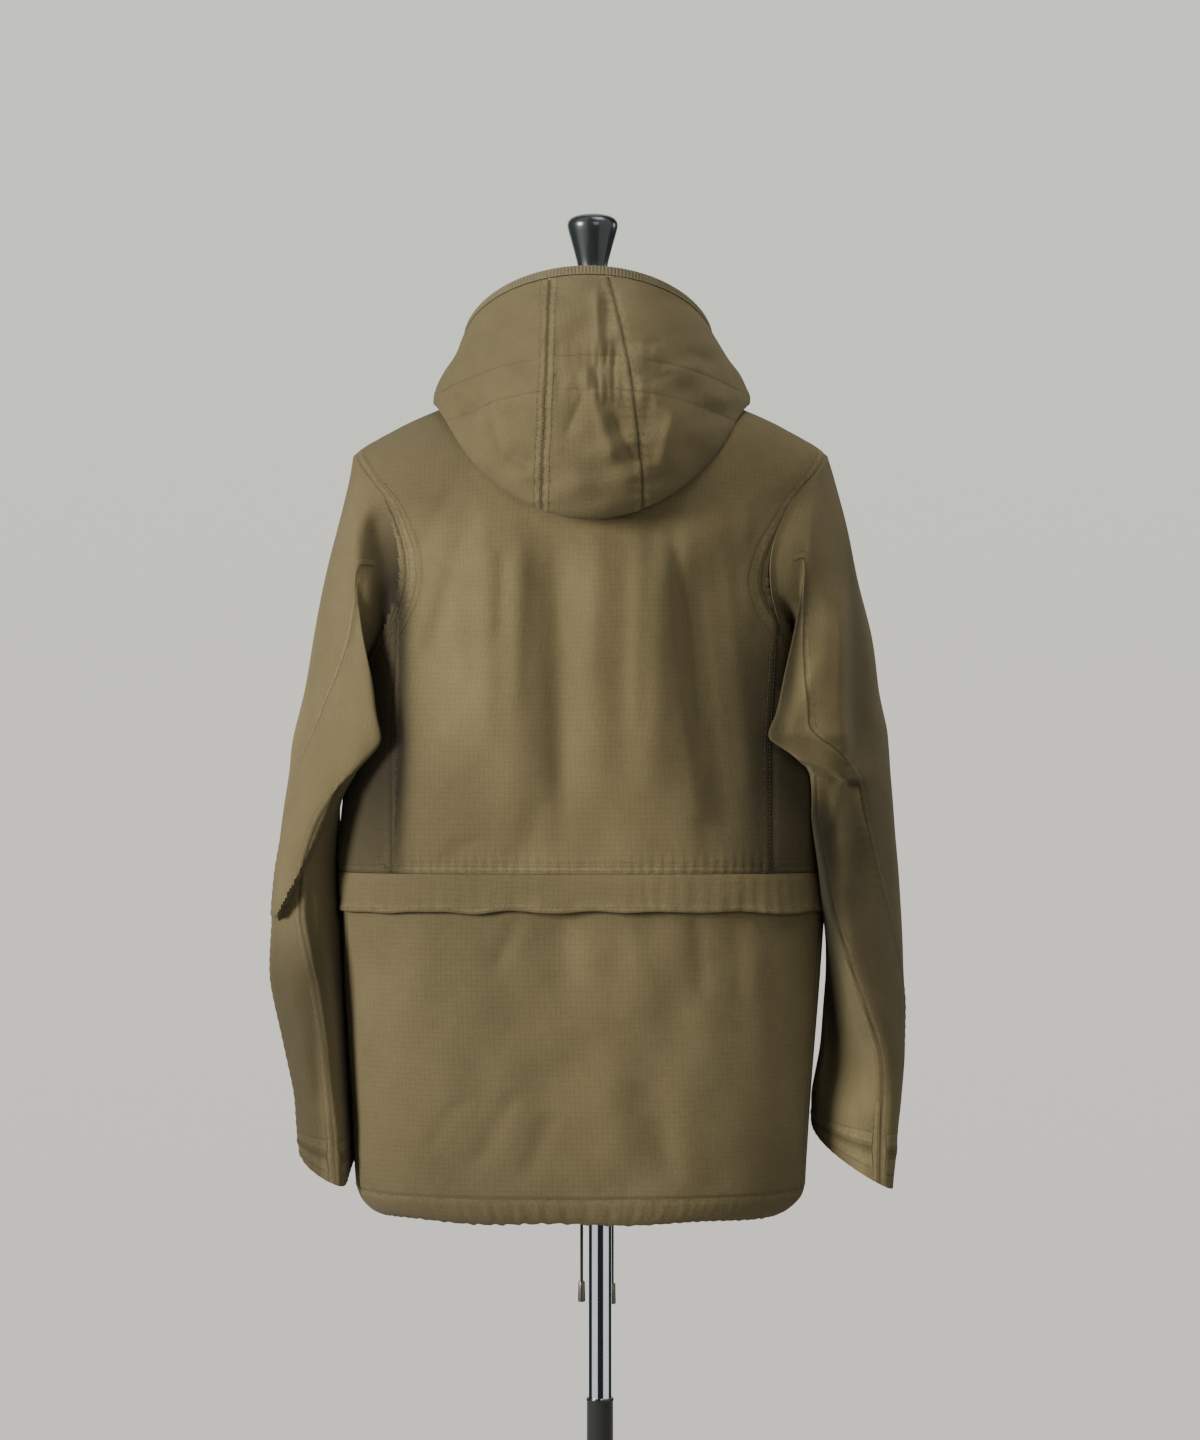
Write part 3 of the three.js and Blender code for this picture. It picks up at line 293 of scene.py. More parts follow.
def shoulder_height(x, y):
    """Height of the shoulders' surface above the points x, y, or nan beside it."""
    low = np.full_like(x, 1402.0)
    high = np.full_like(x, float(NECK_SEAM))

    def outside(level):
        depth = np.where(y < 0, along(UPPER, "level", "back", level), along(UPPER, "level", "front", level))
        half, mid = along(UPPER, "level", "half", level), along(UPPER, "level", "mid", level)
        n = along(UPPER, "level", "round", level)
        return (np.abs(x - mid) / half) ** n + (np.abs(y) / depth) ** n - 1

    beside = outside(low) > 0
    for _ in range(24):
        middle = (low + high) / 2
        inside = outside(middle) < 0
        low = np.where(inside, middle, low)
        high = np.where(inside, high, middle)
    depth = np.where(y < 0, along(UPPER, "level", "back", low), along(UPPER, "level", "front", low))
    share = np.clip(np.abs(y) / depth, 0, 1) ** (along(UPPER, "level", "round", low) / 2)
    end = np.where(y < 0, along(UPPER, "level", "zBack", low), along(UPPER, "level", "zFront", low))
    height = lerp(along(UPPER, "level", "zSide", low), end, share ** along(UPPER, "level", "arch", low))
    return np.where(beside, np.nan, height)


def hood_seam_left(level):
    return np.full_like(np.asarray(level, float), math.radians(252.5))


def hood_seam_right(level):
    return np.radians(np.interp(level, [0, 8, 10, 13], [289, 288, 286, 279]))


# Creases of the hood: x and z of both ends in the photograph, width and rise
HOOD_CREASES = [
    (back_x(597), back_z(292), back_x(599), back_z(356), 4, 3.6),
    (back_x(607), back_z(300), back_x(606), back_z(352), 6, -3.2),
    (back_x(618), back_z(345), back_x(612), back_z(392), 4, -2.6),
    (back_x(481), back_z(396), back_x(494), back_z(425), 4, -4),
    (back_x(494), back_z(425), back_x(501), back_z(447), 4, -3.6),
    (back_x(489), back_z(396), back_x(506), back_z(434), 5, 3.4),
    (back_x(500), back_z(451), back_x(514), back_z(459), 4, -3.6),
    (back_x(514), back_z(459), back_x(531), back_z(470), 4, -3.2),
    (back_x(506), back_z(444), back_x(528), back_z(458), 5, 2.8),
    (back_x(456), back_z(393), back_x(462), back_z(409), 3.5, -3.6),
    (back_x(462), back_z(409), back_x(479), back_z(409), 3.5, -3),
    (back_x(466), back_z(398), back_x(478), back_z(400), 4, 2.4),
    (back_x(488), back_z(366), back_x(494), back_z(378), 4, -2.6),
    (back_x(556), back_z(380), back_x(566), back_z(387), 4, -2.6),
    (back_x(585), back_z(398), back_x(568), back_z(437), 5, -3.6),
    (back_x(593), back_z(396), back_x(604), back_z(440), 5, 3),
    (back_x(577), back_z(378), back_x(580), back_z(396), 3.5, -2.6),
    (back_x(596), back_z(372), back_x(597), back_z(394), 3.5, -3),
    (back_x(587), back_z(374), back_x(588), back_z(392), 3.5, 2.2),
    (back_x(614), back_z(424), back_x(634), back_z(467), 5, -3.6),
    (back_x(605), back_z(420), back_x(612), back_z(462), 6, 2.4),
    (back_x(672), back_z(418), back_x(660), back_z(462), 5, 3.6),
    (back_x(648), back_z(402), back_x(640), back_z(452), 6, -2.4),
    (back_x(646), back_z(348), back_x(662), back_z(343), 4, -2.4),
    (back_x(666), back_z(372), back_x(700), back_z(366), 5, 2.8),
    (back_x(648), back_z(386), back_x(672), back_z(376), 4, -2.6),
    (back_x(690), back_z(352), back_x(716), back_z(360), 5, -2.2),
    (back_x(700), back_z(388), back_x(728), back_z(402), 6, 2.4),
    (back_x(470), back_z(330), back_x(520), back_z(312), 6, -1.8),
    (back_x(505), back_z(352), back_x(540), back_z(340), 6, 1.8),
]
CHANNELS = [back_z(359), back_z(393)]


def crease(x, z, x0, z0, x1, z1, width, rise):
    """A soft ridge or trough along a straight line, fading at its ends."""
    dx, dz = x1 - x0, z1 - z0
    length = math.hypot(dx, dz)
    t = ((x - x0) * dx + (z - z0) * dz) / length**2
    side = ((x - x0) * dz - (z - z0) * dx) / length
    return rise * np.exp(-0.7 * np.abs(side / width) ** 1.35) * smooth(-0.25, 0.15, t) * (1 - smooth(0.85, 1.25, t))


def channel_height(height, x):
    """Height of a stitched channel, which drops towards both sides of the hood."""
    return height - 15 * ((x + 8) / 110) ** 2


def hood_point(level, angle):
    p = ring(HOOD, level, angle)
    level = np.broadcast_to(np.asarray(level, float), p.shape[:-1])
    angle = np.broadcast_to(np.asarray(angle, float), p.shape[:-1])
    x, y, z = p[..., 0], p[..., 1], p[..., 2]
    shoulder = shoulder_height(x, y)
    floor = shoulder + HOOD_CLEARANCE * np.minimum(1, level)
    p[..., 2] = np.where((level > 0) & ~np.isnan(shoulder), np.fmax(z, floor), z)
    outer = smooth(6, 7.5, level) * (1 - smooth(12.6, 13, level))
    back = smooth(0.1, 0.5, -np.sin(angle))
    rise = np.zeros_like(x)
    for row in HOOD_CREASES:
        rise += crease(x, z, *row)
    rise += ripple(x, z, 40, 34, 11) * 1.3 + ripple(x, z, 90, 60, 12) * 1.6
    for height in CHANNELS:
        drop = z - channel_height(height, x)
        gather = np.sin(2 * math.pi * x / 9 + 3 * np.sin(x / 13)) * (0.6 + 0.4 * np.sin(x / 7 + 1))
        rise -= bell(drop, 1.6) * 1.1
        rise += bell(np.abs(drop) - 5, 5) * gather * 0.9 * (0.35 + 0.65 * bell(x - 8, 34))
    p[..., 1] -= rise * outer * back
    p[..., 0] += rise * outer * 0.35 * np.cos(angle)
    return p


# Sleeves: sections that pass through an outer, a back, an inner and a front point
SECTION = ["z", "tilt", "out", "inn", "backX", "backY", "frontX", "frontY", "drop"]
LEFT_SLEEVE = {
    "side": -1,
    "sections": table(SECTION, [
        [1273, 95, -238.5, -230, -221, -81, -224.5, 75, 0],
        [1236, 66, -256, -232, -220, -87, -232, 82, 0],
        [1195, 36, -270, -235, -212, -92, -240, 87, 0],
        [1160, 18, -279, -238, -208, -95, -246, 90, 0],
        [1134, 8, -287, -240, -204, -95, -253, 92, 0],
        [1119, 4, -291, -242, -214, -87, -256, 93, 0],
        [1100, 0, -293.5, -243, -232, -78, -259, 94, 0],
        [1060, 0, -299, -246, -260, -72, -266, 93, 0],
        [1010, 0, -304, -248, -277, -67, -258, 90, 0],
        [965, 0, -307, -246, -279, -65, -253, 88, 0],
        [908, 0, -311, -243, -266, -64, -249, 86, 0],
        [850, 0, -299.5, -240, -257, -62, -244, 84, 0],
        [800, 0, -287.5, -237, -252, -58, -239, 82, 0],
        [766, 2, -284.5, -235, -249, -55, -237, 80, 6],
        [738, 9, -281.5, -234, -247, -50, -235, 78.5, 21],
    ]),
    "fold_line": [[-202, 1127], [-245, 1085], [-260, 1046], [-279, 1008], [-300, 968]],
    "fold_depth": 13,
    "seam": [[0.5, 86], [1, 78], [2, 72], [3, 54], [4, 38], [5, 28], [7, 23], [11, 20], [15, 18]],
}
RIGHT_SLEEVE = {
    "side": 1,
    "sections": table(SECTION, [
        [1279, 97, 222, 207, 185, -84, 203, 76, 0],
        [1240, 66, 239, 208, 180, -92, 211, 84, 0],
        [1195, 36, 254, 212, 171, -98, 222, 88, 0],
        [1160, 18, 261.5, 215, 164, -102, 230, 90, 0],
        [1136, 8, 267, 217, 157, -106, 235, 92, 0],
        [1119, 4, 270, 218, 180, -94, 238, 92, 0],
        [1100, 0, 272.6, 219, 198, -84, 240, 92, 0],
        [1060, 0, 277, 221, 201, -80, 244, 92, 0],
        [1010, 0, 281.5, 222, 209, -78, 246, 90, 0],
        [970, 0, 283.5, 219, 217, -76, 248, 88, 0],
        [919, 0, 286, 214, 233, -74, 250, 86, 0],
        [882, 0, 289, 211, 246, -72, 250, 84, 0],
        [840, 0, 287, 208.5, 259, -70, 248, 84, 0],
        [800, 0, 279.5, 202, 261, -66, 240, 84, 0],
        [776, -4, 275, 201.6, 260, -63, 237, 82, 8],
        [745, -18, 269.5, 201.5, 259, -58, 235, 80, 26],
    ]),
    "fold_line": [[155, 1128], [165, 1118], [193, 1111], [213, 1104], [231, 1092]],
    "fold_depth": 17,
    "seam": [[0.5, 86], [1, 78], [2, 74], [4, 60], [6, 50], [9, 34], [11, 16], [13, 8], [16, 4]],
}
ARMHOLE = {"y": -3, "z": 1290, "half_width": 83, "half_height": 110}
ARMHOLE_SHRINK = 0.9
ARMHOLE_REACH = 1.6
SLEEVE_CLEARANCE = {-1: 1.6, 1: 4}
TENSION = 0.4


def armhole_x(y, z, side):
    """The body's side surface at depth y and height z."""
    def angle_at(level):
        depth = np.where(y < 0, along(UPPER, "level", "back", level), along(UPPER, "level", "front", level))
        s = np.clip(power(y / depth, along(UPPER, "level", "round", level) / 2), -1, 1)
        return np.arcsin(s) if side > 0 else math.pi - np.arcsin(s)

    low = np.full_like(y, 1150.0)
    high = np.full_like(y, 1402.0)
    for _ in range(26):
        middle = (low + high) / 2
        below = ring(UPPER, middle, angle_at(middle))[..., 2] < z
        low = np.where(below, middle, low)
        high = np.where(below, high, middle)
    return ring(UPPER, low, angle_at(low))[..., 0]


def section_points(sleeve, turn):
    """All the sections of a sleeve at the given turns, with the armhole first."""
    c, s = np.cos(turn), np.sin(turn)
    y = ARMHOLE["y"] - (ARMHOLE["half_width"] - ARMHOLE_SHRINK) * s
    z = ARMHOLE["z"] + (ARMHOLE["half_height"] - ARMHOLE_SHRINK) * c
    side = sleeve["side"]
    rings = [np.stack([armhole_x(y, z, side) + side * ARMHOLE_REACH, y, z], axis=-1)]
    r = sleeve["sections"]
    for k in range(len(r["z"])):
        middle = (r["out"][k] + r["inn"][k]) / 2
        x = middle + (r["out"][k] - r["inn"][k]) / 2 * c + (r["backX"][k] - r["frontX"][k]) / 2 * s
        x = x + ((r["backX"][k] + r["frontX"][k]) / 2 - middle) * s * s
        depth = -(r["frontY"][k] - r["backY"][k]) / 2 * s + (r["backY"][k] + r["frontY"][k]) / 2 * s * s
        rings.append(np.stack([x, depth, r["z"][k] + r["tilt"][k] * c - r["drop"][k] * s], axis=-1))
    return np.array(rings)


def body_side(y, z, side):
    """Half the body's width at depth y and height z, or a far value where there is no body."""
    low = z < BAND_BOTTOM - 4

    def value(name):
        at = np.minimum(z, 1180)
        return np.where(low, along(SKIRT, "level", name, at), along(UPPER, "level", name, at))

    depth = np.where(y < 0, value("back"), value("front"))
    share = np.clip(np.abs(y) / depth, 0, 1)
    edge = value("mid") + side * value("half") * (1 - share ** value("round")) ** (1 / value("round"))
    return np.where(share < 1, edge, -side * 1e4)


def sleeve_point(sleeve, t, turn):
    """t runs down the sleeve by sections and turn goes round it: 0 outer, 90 degrees back, 180 inner."""
    t, turn = np.broadcast_arrays(np.asarray(t, float), np.asarray(turn, float))
    count = len(sleeve["sections"]["z"])
    flat_turn, back = np.unique(turn.ravel(), return_inverse=True)
    rings = section_points(sleeve, flat_turn)
    k = np.clip(np.floor(t.ravel()).astype(int), 0, count - 1)
    f = (t.ravel() - k)[:, None]
    p0, p1, p2, p3 = (rings[np.clip(k + n, 0, count), back.ravel()] for n in (-1, 0, 1, 2))
    m1, m2 = (p2 - p0) * TENSION, (p3 - p1) * TENSION
    p = p1 * (2 * f**3 - 3 * f**2 + 1) + m1 * (f**3 - 2 * f**2 + f)
    p += p2 * (3 * f**2 - 2 * f**3) + m2 * (f**3 - f**2)
    p = p.reshape(t.shape + (3,))
    p = sleeve_relief(sleeve, p, t, turn)
    z = p[..., 2]
    edge = body_side(p[..., 1], z, sleeve["side"]) + sleeve["side"] * SLEEVE_CLEARANCE[sleeve["side"]]
    pushed = np.maximum(p[..., 0], edge) if sleeve["side"] > 0 else np.minimum(p[..., 0], edge)
    p[..., 0] = np.where(z < ARMHOLE["z"] - ARMHOLE["half_height"] + 4, pushed, p[..., 0])
    return p


# Creases on the back of the sleeves: ends in x and z, width, rise
LEFT_CREASES = [
    (-214, 1300, -236, 1180, 7, -3.4),
    (-238, 1330, -262, 1200, 9, 3),
    (-250, 1240, -250, 1130, 8, -3),
    (-262, 1210, -274, 1060, 10, 2.4),
    (-232, 1180, -222, 1130, 7, 2.6),
    (-284, 1010, -300, 930, 9, -3),
    (-290, 940, -284, 840, 8, 2.6),
    (-268, 900, -262, 800, 7, -2.6),
    (-300, 900, -290, 850, 7, -2.6),
    (-276, 850, -266, 770, 7, 2),
]
RIGHT_CREASES = [
    (190, 1310, 178, 1180, 8, -3.4),
    (212, 1330, 206, 1180, 10, 3),
    (232, 1290, 226, 1130, 8, -3.2),
    (200, 1200, 176, 1140, 7, 2.6),
    (246, 1240, 256, 1080, 9, 2.2),
    (222, 1090, 214, 1050, 6, 3),
    (212, 1080, 224, 1010, 7, -3.4),
    (244, 1070, 256, 980, 9, -2.8),
    (262, 1010, 272, 900, 9, 2.6),
    (240, 980, 262, 900, 8, -2.6),
    (276, 900, 280, 820, 7, -2.2),
    (232, 900, 240, 820, 9, 2.2),
]
RIGHT_EDGE = {"top": (222, 1290), "bottom": (227, 1095), "step": 6, "flatness": 0.75}
RIGHT_RIDGE = {
    "z": [1100, 1119, 1136, 1160, 1195, 1240, 1279], "x": [198, 180, 157, 164, 171, 180, 185],
    "y": [-84, -94, -106, -102, -98, -92, -84],
}


def sleeve_relief(sleeve, p, t, turn):
    """The elbow's fold and the creases of a sleeve."""
    x, z = p[..., 0].copy(), p[..., 2]
    line = np.array(sorted(sleeve["fold_line"]))
    below = np.interp(x, line[:, 0], line[:, 1]) - z
    backness = np.sqrt(np.maximum(0, np.sin(turn)))
    if sleeve["side"] > 0:
        backness = backness * (1 - smooth(216, 252, x))
    p[..., 1] += sleeve["fold_depth"] * 1.25 * backness * smooth(0, 5, below) * (1 - smooth(10, 110, below))
    rise = np.zeros_like(x)
    for row in LEFT_CREASES if sleeve["side"] < 0 else RIGHT_CREASES:
        rise += crease(x, z, *row)
    collapsed = smooth(1.65, 2.0, turn) * (1 - smooth(2.6, 3.1, turn)) * smooth(770, 830, z) * (1 - smooth(960, 1030, z))
    p[..., 1] += (17 if sleeve["side"] > 0 else 8) * collapsed
    start = math.radians(50 if sleeve["side"] < 0 else 100)
    valley = bell(t - 0.42, 0.2) * smooth(start, start + 0.3, turn) * (1 - smooth(2.6, 3.1, turn))
    p[..., 1] += 15 * valley
    if sleeve["side"] > 0:
        (x0, z0), (x1, z1) = RIGHT_EDGE["top"], RIGHT_EDGE["bottom"]
        share = np.clip((z0 - z) / (z0 - z1), 0, 1)
        past = x - lerp(x0, x1, share)
        reach = smooth(z1 - 10, z1 + 30, z) * (1 - smooth(z0 - 60, z0, z))
        rise -= RIGHT_EDGE["step"] * smooth(0, 6, past) * (1 - smooth(9, 40, past)) * reach
        ridge_x = np.interp(z, RIGHT_RIDGE["z"], RIGHT_RIDGE["x"])
        flat = np.interp(z, RIGHT_RIDGE["z"], RIGHT_RIDGE["y"]) + 0.06 * (x - ridge_x)
        share = RIGHT_EDGE["flatness"] * reach * (1 - smooth(-2, 14, past)) * (turn > 0) * (turn < 1.6)
        p[..., 1] = np.where(flat < p[..., 1], lerp(p[..., 1], flat, share), p[..., 1])
    rise += ripple(x, z + p[..., 1] * 0.4, 44, 80, 21 + sleeve["side"]) * 1.1
    settled = smooth(0, 1, t) * np.maximum(0, np.sin(turn))
    p[..., 1] -= rise * settled
    front = np.maximum(0, -np.sin(turn)) * smooth(0.2, 1.5, t)
    p[..., 1] += ripple(x, z, 36, 70, 31) * 1.8 * front
    outer = np.maximum(0, np.cos(turn)) * smooth(0.5, 2, t)
    p[..., 0] += sleeve["side"] * ripple(p[..., 1], z, 90, 150, 41 + sleeve["side"]) * 0.8 * outer
    return p


# Mesh making
FAR = 40.0       # the distance to a seam, in millimetres, of cloth that has none near


def bake(ob):
    """Replaces the object's mesh by the one that its modifiers make."""
    depsgraph = bpy.context.evaluated_depsgraph_get()
    mesh = bpy.data.meshes.new_from_object(ob.evaluated_get(depsgraph))
    ob.modifiers.clear()
    ob.data = mesh
    return ob


def link(name, mesh, material):
    ob = bpy.data.objects.new(name, mesh)
    bpy.context.collection.objects.link(ob)
    ob.data.materials.clear()
    ob.data.materials.append(material)
    return ob


def finish_mesh(ob, body, sharp=50):
    ob.data.polygons.foreach_set("use_smooth", [True] * len(ob.data.polygons))
    ob.data.set_sharp_from_angle(angle=math.radians(sharp))
    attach(ob, body)
    return ob


def sheet_mesh(name, points, material, keep=None, uv=None, thickness=WALL, offset=-1, closed=False,
               shade=None, edge=None, body="form", outward=None):
    """A cloth sheet through a grid of points in millimetres, with a wall and a UV map in metres."""
    rows, columns = points.shape[:2]
    bm = bmesh.new()
    bmesh.ops.create_grid(bm, x_segments=columns - 1, y_segments=rows - 1, size=1, calc_uvs=True)
    mesh = bpy.data.meshes.new(name)
    bm.to_mesh(mesh)
    bm.free()
    flat = np.empty(len(mesh.vertices) * 3)
    mesh.vertices.foreach_get("co", flat)
    flat = flat.reshape(-1, 3)
    j = np.rint((flat[:, 0] + 1) / 2 * (columns - 1)).astype(int)
    i = np.rint((flat[:, 1] + 1) / 2 * (rows - 1)).astype(int)
    mesh.vertices.foreach_set("co", (points[i, j] * MM).ravel())
    if uv is None:
        uv = arc_uv(points)
    corners = np.empty(len(mesh.loops), int)
    mesh.loops.foreach_get("vertex_index", corners)
    layer = mesh.uv_layers.active or mesh.uv_layers.new(name="cloth")
    layer.uv.foreach_set("vector", (uv[i, j][corners]).astype(np.float32).ravel())
    # The shade attribute holds painted shade for the cloth's colour; edge is the distance to a seam.
    for label, values in (("shade", shade), ("edge", edge)):
        if values is None:
            values = np.full(points.shape[:2], 0.0 if label == "shade" else FAR)
        attribute = mesh.attributes.new(label, "FLOAT", "POINT")
        attribute.data.foreach_set("value", values[i, j].astype(np.float32))
    bm = bmesh.new()
    bm.from_mesh(mesh)
    if keep is not None:
        kept = keep[i, j]
        bm.verts.ensure_lookup_table()
        gone = [f for f in bm.faces if not any(kept[v.index] for v in f.verts)]
        bmesh.ops.delete(bm, geom=gone, context="FACES")
    if closed:
        bmesh.ops.remove_doubles(bm, verts=bm.verts, dist=1e-6)
    bm.normal_update()
    centre = points.reshape(-1, 3).mean(axis=0) * MM if outward is None else np.array(outward) * MM
    facing = sum(f.normal.dot(f.calc_center_median() - Vector(centre)) * f.calc_area() for f in bm.faces)
    if facing < 0:
        bmesh.ops.reverse_faces(bm, faces=bm.faces)
    bm.to_mesh(mesh)
    bm.free()
    ob = link(name, mesh, material)
    wall = ob.modifiers.new("wall", "SOLIDIFY")
    wall.thickness = thickness * MM
    wall.offset = offset
    bake(ob)
    return finish_mesh(ob, body)


def arc_uv(points):
    """Distances across and up the sheet, in metres, from its middle column and first row."""
    across = np.linalg.norm(np.diff(points, axis=1), axis=2)
    u = np.concatenate((np.zeros((len(points), 1)), np.cumsum(across, axis=1)), axis=1)
    u -= u[:, [points.shape[1] // 2]]
    up = np.linalg.norm(np.diff(points, axis=0), axis=2)
    v = np.concatenate((np.zeros((1, points.shape[1])), np.cumsum(up, axis=0)), axis=0)
    return np.stack([u, v], axis=-1) * MM


def even(surface, low, high, count, angles):
    """Levels between low and high that lie evenly apart on the surface."""
    fine = np.linspace(low, high, 300)
    p = surface(fine[:, None], angles[None, :])
    step = np.linalg.norm(np.diff(p, axis=0), axis=2).max(axis=1)
    length = np.concatenate(([0], np.cumsum(step)))
    return np.interp(np.linspace(0, length[-1], count), length, fine)


def tube_mesh(name, path, radius, material, body, sides=12):
    """A round tube along a list of points in millimetres."""
    curve = bpy.data.curves.new(name, "CURVE")
    curve.dimensions = "3D"
    spline = curve.splines.new("POLY")
    spline.points.add(len(path) - 1)
    for point, place in zip(spline.points, path):
        point.co = (*(np.array(place) * MM), 1)
    curve.bevel_depth = radius * MM
    curve.bevel_resolution = sides // 4
    curve.use_fill_caps = True
    ob = bpy.data.objects.new(name, curve)
    bpy.context.collection.objects.link(ob)
    curve.materials.append(material)
    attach(ob, body)
    return ob


def turned(name, profile, x, y, material, body, segments=64):
    """A turned piece from radius and height pairs in millimetres."""
    bm = bmesh.new()
    verts = [bm.verts.new((r * MM, 0, z * MM)) for r, z in profile]
    edges = [bm.edges.new(pair) for pair in zip(verts, verts[1:])]
    bmesh.ops.spin(bm, geom=verts + edges, cent=(0, 0, 0), axis=(0, 0, 1), angle=2 * math.pi,
                   steps=segments, use_duplicate=False)
    bmesh.ops.remove_doubles(bm, verts=bm.verts, dist=1e-6)
    bmesh.ops.recalc_face_normals(bm, faces=bm.faces)
    bmesh.ops.translate(bm, verts=bm.verts, vec=(x * MM, y * MM, 0))
    mesh = bpy.data.meshes.new(name)
    bm.to_mesh(mesh)
    bm.free()
    return finish_mesh(link(name, mesh, material), body, sharp=35)


def stitch_mesh(name, rows, material, length=2.4, gap=1.0, width=0.75, height=0.4):
    """Stitches as small pointed bars along rows of (points, normals) in millimetres."""
    bm = bmesh.new()
    for path, normal in rows:
        path, normal = np.asarray(path), np.asarray(normal)
        step = np.linalg.norm(np.diff(path, axis=0), axis=1)
        arc = np.concatenate(([0], np.cumsum(step)))
        for start in np.arange(0, arc[-1] - length, length + gap):
            ends = [np.array([np.interp(start + d, arc, path[:, a]) for a in range(3)]) for d in (0, length)]
            up = np.array([np.interp(start, arc, normal[:, a]) for a in range(3)])
            up /= np.linalg.norm(up) + 1e-9
            forward = (ends[1] - ends[0]) / (np.linalg.norm(ends[1] - ends[0]) + 1e-9)
            side = np.cross(forward, up)
            middle = (ends[0] + ends[1]) / 2
            ring_points = [middle + side * width / 2, middle + up * height, middle - side * width / 2]
            a, b = (bm.verts.new(e * MM) for e in ends)
            c, d, e = (bm.verts.new(v * MM) for v in ring_points)
            for face in ((a, c, d), (a, d, e), (b, d, c), (b, e, d), (a, e, c), (b, c, e)):
                bm.faces.new(face)
    bmesh.ops.recalc_face_normals(bm, faces=bm.faces)
    mesh = bpy.data.meshes.new(name)
    bm.to_mesh(mesh)
    bm.free()
    ob = link(name, mesh, material)
    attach(ob, "form")
    return ob


def row_on(surface, u, v, lift=0.25, du=0.004, dv=0.2, flip=1):
    """A row of points on a surface of (v, u), lifted off it, with the surface's normals."""
    p = surface(v, u)
    normal = np.cross(surface(v, u + du) - surface(v, u - du), surface(v + dv, u) - surface(v - dv, u))
    normal *= flip / (np.linalg.norm(normal, axis=-1, keepdims=True) + 1e-9)
    return p + normal * lift, normal


# Materials
def nodes_of(name):
    material = bpy.data.materials.new(name)
    material.use_nodes = True
    tree = material.node_tree
    return material, tree, tree.nodes["Principled BSDF"]


def mixed(tree, factor, a, b, blend="MIX"):
    node = tree.nodes.new("ShaderNodeMix")
    node.data_type = "RGBA"
    node.blend_type = blend
    for value, socket in ((factor, 0), (a, 6), (b, 7)):
        if hasattr(value, "links"):
            tree.links.new(value, node.inputs[socket])
        else:
            node.inputs[socket].default_value = value
    return node.outputs[2]


def calc(tree, operation, a, b=0.0, c=0.0):
    node = tree.nodes.new("ShaderNodeMath")
    node.operation = operation
    for value, socket in ((a, 0), (b, 1), (c, 2)):
        if hasattr(value, "links"):
            tree.links.new(value, node.inputs[socket])
        else:
            node.inputs[socket].default_value = value
    return node.outputs[0]


def noise(tree, vector, scale, detail=3.0, roughness=0.6):
    node = tree.nodes.new("ShaderNodeTexNoise")
    node.inputs["Scale"].default_value = scale
    node.inputs["Detail"].default_value = detail
    node.inputs["Roughness"].default_value = roughness
    tree.links.new(vector, node.inputs["Vector"])
    return node.outputs["Fac"]


def remap(tree, value, low, high, to_low, to_high):
    node = tree.nodes.new("ShaderNodeMapRange")
    for given, socket in zip((low, high, to_low, to_high), ("From Min", "From Max", "To Min", "To Max")):
        node.inputs[socket].default_value = given
    tree.links.new(value, node.inputs["Value"])
    return node.outputs["Result"]


RIPSTOP_PITCH = 0.0048
THREAD_PITCH = 0.00048


